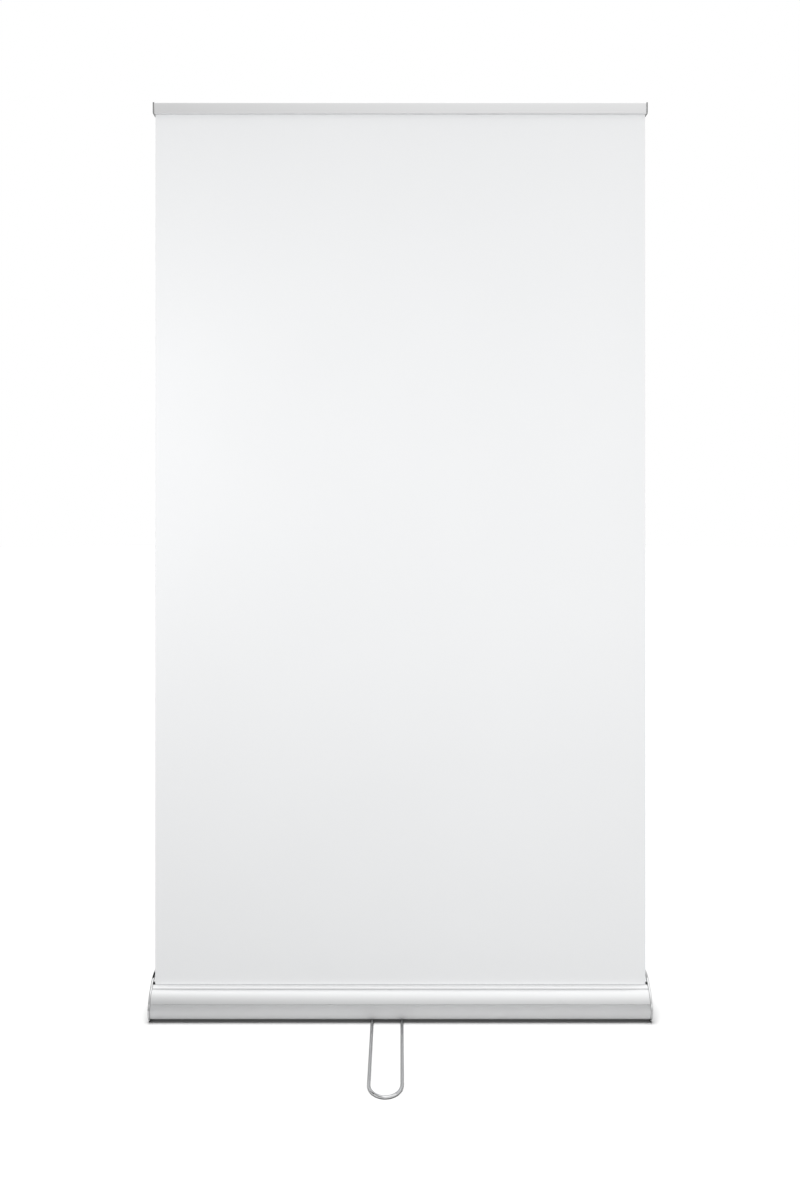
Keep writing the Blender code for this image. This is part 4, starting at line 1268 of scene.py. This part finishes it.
def byTurn(key):
    # levels by degrees, 0 to 180
    return sky.node("ShaderNodeValToRGB", {0: turnOver}, stops=[
        (angle / 180, level) for angle, level in stage[key]
    ])


def bySide(key):
    # levels from left, -1, to right, 1
    return sky.node("ShaderNodeValToRGB", {0: across * 0.5 + 0.5}, stops=[
        (place * 0.5 + 0.5, level) for place, level in stage[key]
    ])


farLeft = across.maths("LESS_THAN", across, -stage["flagStart"])
farRight = across.maths("GREATER_THAN", across, stage["flagStart"])
studioLevel = sky.mix(farRight, byTurn("panels"), byTurn("flaggedRight"))
studioLevel = sky.mix(farLeft, studioLevel, byTurn("flaggedLeft"))
sideLevel = sky.mix(byTurn("overhead"), bySide("sideways"), bySide("sidewaysOverhead"))
toCamera = sky.node("ShaderNodeLightPath", {}, "Is Camera Ray")
toMatte = sky.node("ShaderNodeLightPath", {}, "Is Diffuse Ray")
toGloss = 1 - (toCamera + toMatte)
sky.feed(background.inputs["Color"], (1, 1, 1, 1))
sky.feed(
    background.inputs["Strength"],
    toCamera + toMatte * stage["ambient"] + toGloss * studioLevel * sideLevel,
)


def addLamp(name, kind, place, turn, lit, shading, **settings):
    # a lamp that lights matte surfaces only, because the studio's levels are the reflections
    lamp = bpy.data.lights.new(name, kind)
    for setting, value in settings.items():
        setattr(lamp, setting, value)
    obj = bpy.data.objects.new(name, lamp)
    scene.collection.objects.link(obj)
    obj.location = place
    obj.rotation_euler = turn
    obj.visible_camera = False
    obj.visible_glossy = False
    obj.light_linking.receiver_collection = lit
    obj.light_linking.blocker_collection = shading


def lightGroup(name, objects, state):
    # the objects that take part in a lamp's light or shadow, or with EXCLUDE the ones left out
    group = bpy.data.collections.new(name)
    for obj in objects:
        group.objects.link(obj)
    for item in group.collection_objects:
        item.light_linking.link_state = state
    return group


floorOnly = lightGroup("floorOnly", [floor], "INCLUDE")
allButFloor = lightGroup("allButFloor", [floor], "EXCLUDE")
trayOnly = lightGroup("trayOnly", [trayPiece], "INCLUDE")
tallPieces = [
    obj for obj in scene.objects
    if obj.type == "MESH" and obj != floor
    and max(point.co.z for point in obj.data.vertices) > stage["tallPiece"]
]
lowPieces = lightGroup("lowPieces", tallPieces, "EXCLUDE")
addLamp(
    "overheadLight", "SUN", stage["sunPlace"], (0, stage["sunLean"], 0), floorOnly, lowPieces,
    energy=stage["sunStrength"], angle=math.radians(stage["sunWidth"]),
)
# what comes through the thin film, on its inner faces and the pole
tallOnly = lightGroup("tallOnly", tallPieces, "INCLUDE")
for word, turn in zip(("right", "left"), stage["fillTurns"]):
    addLamp(
        word + "Fill", "SUN", stage["sunPlace"], (math.pi / 2, 0, turn), tallOnly, floorOnly,
        energy=stage["fillStrength"], angle=math.radians(stage["fillWidth"]),
    )
softboxes = (
    {"name": "leftSoftbox", "place": (-1.12, -1.05, 1.44), "size": 0.5, "power": 3.6, "tilt": 0},
    {"name": "rightSoftbox", "place": (0.57, -2.45, 1.37), "size": 0.9, "power": 22.5, "tilt": 0},
    {"name": "rearSoftbox", "place": (0.2, 2.45, 1.37), "size": 0.9, "power": 22.5, "tilt": 0},
    # what a white floor throws back up on the tray's walls
    {"name": "frontBounce", "place": (0, -2.40, -0.92), "size": 1.2, "power": 48.0, "tilt": 22},
    {"name": "rearBounce", "place": (0, 2.40, -0.92), "size": 1.2, "power": 48.0, "tilt": 22},
)
for box in softboxes:
    facing = math.copysign(math.pi / 2 + math.radians(box["tilt"]), -box["place"][1])
    lit = trayOnly if box["tilt"] else allButFloor
    addLamp(
        box["name"], "AREA", box["place"], (facing, 0, 0), lit, allButFloor,
        shape="SQUARE", size=box["size"], energy=box["power"],
    )
# what the bright flanges throw up on the foot of each film
flangeGlow = {"y": 0.0506, "z": 0.0781, "width": 0.010, "power": 0.018}
for side, sheet in filmFeet:
    place = (0, side * flangeGlow["y"], flangeGlow["z"])
    sheetOnly = lightGroup(sheet.name + "Only", [sheet], "INCLUDE")
    addLamp(
        sheet.name + "Glow", "AREA", place, (math.pi, 0, 0), sheetOnly, floorOnly,
        shape="RECTANGLE", size=banner["width"], size_y=flangeGlow["width"],
        energy=flangeGlow["power"],
    )
scene.view_settings.view_transform = "Standard"
print("stage lit")
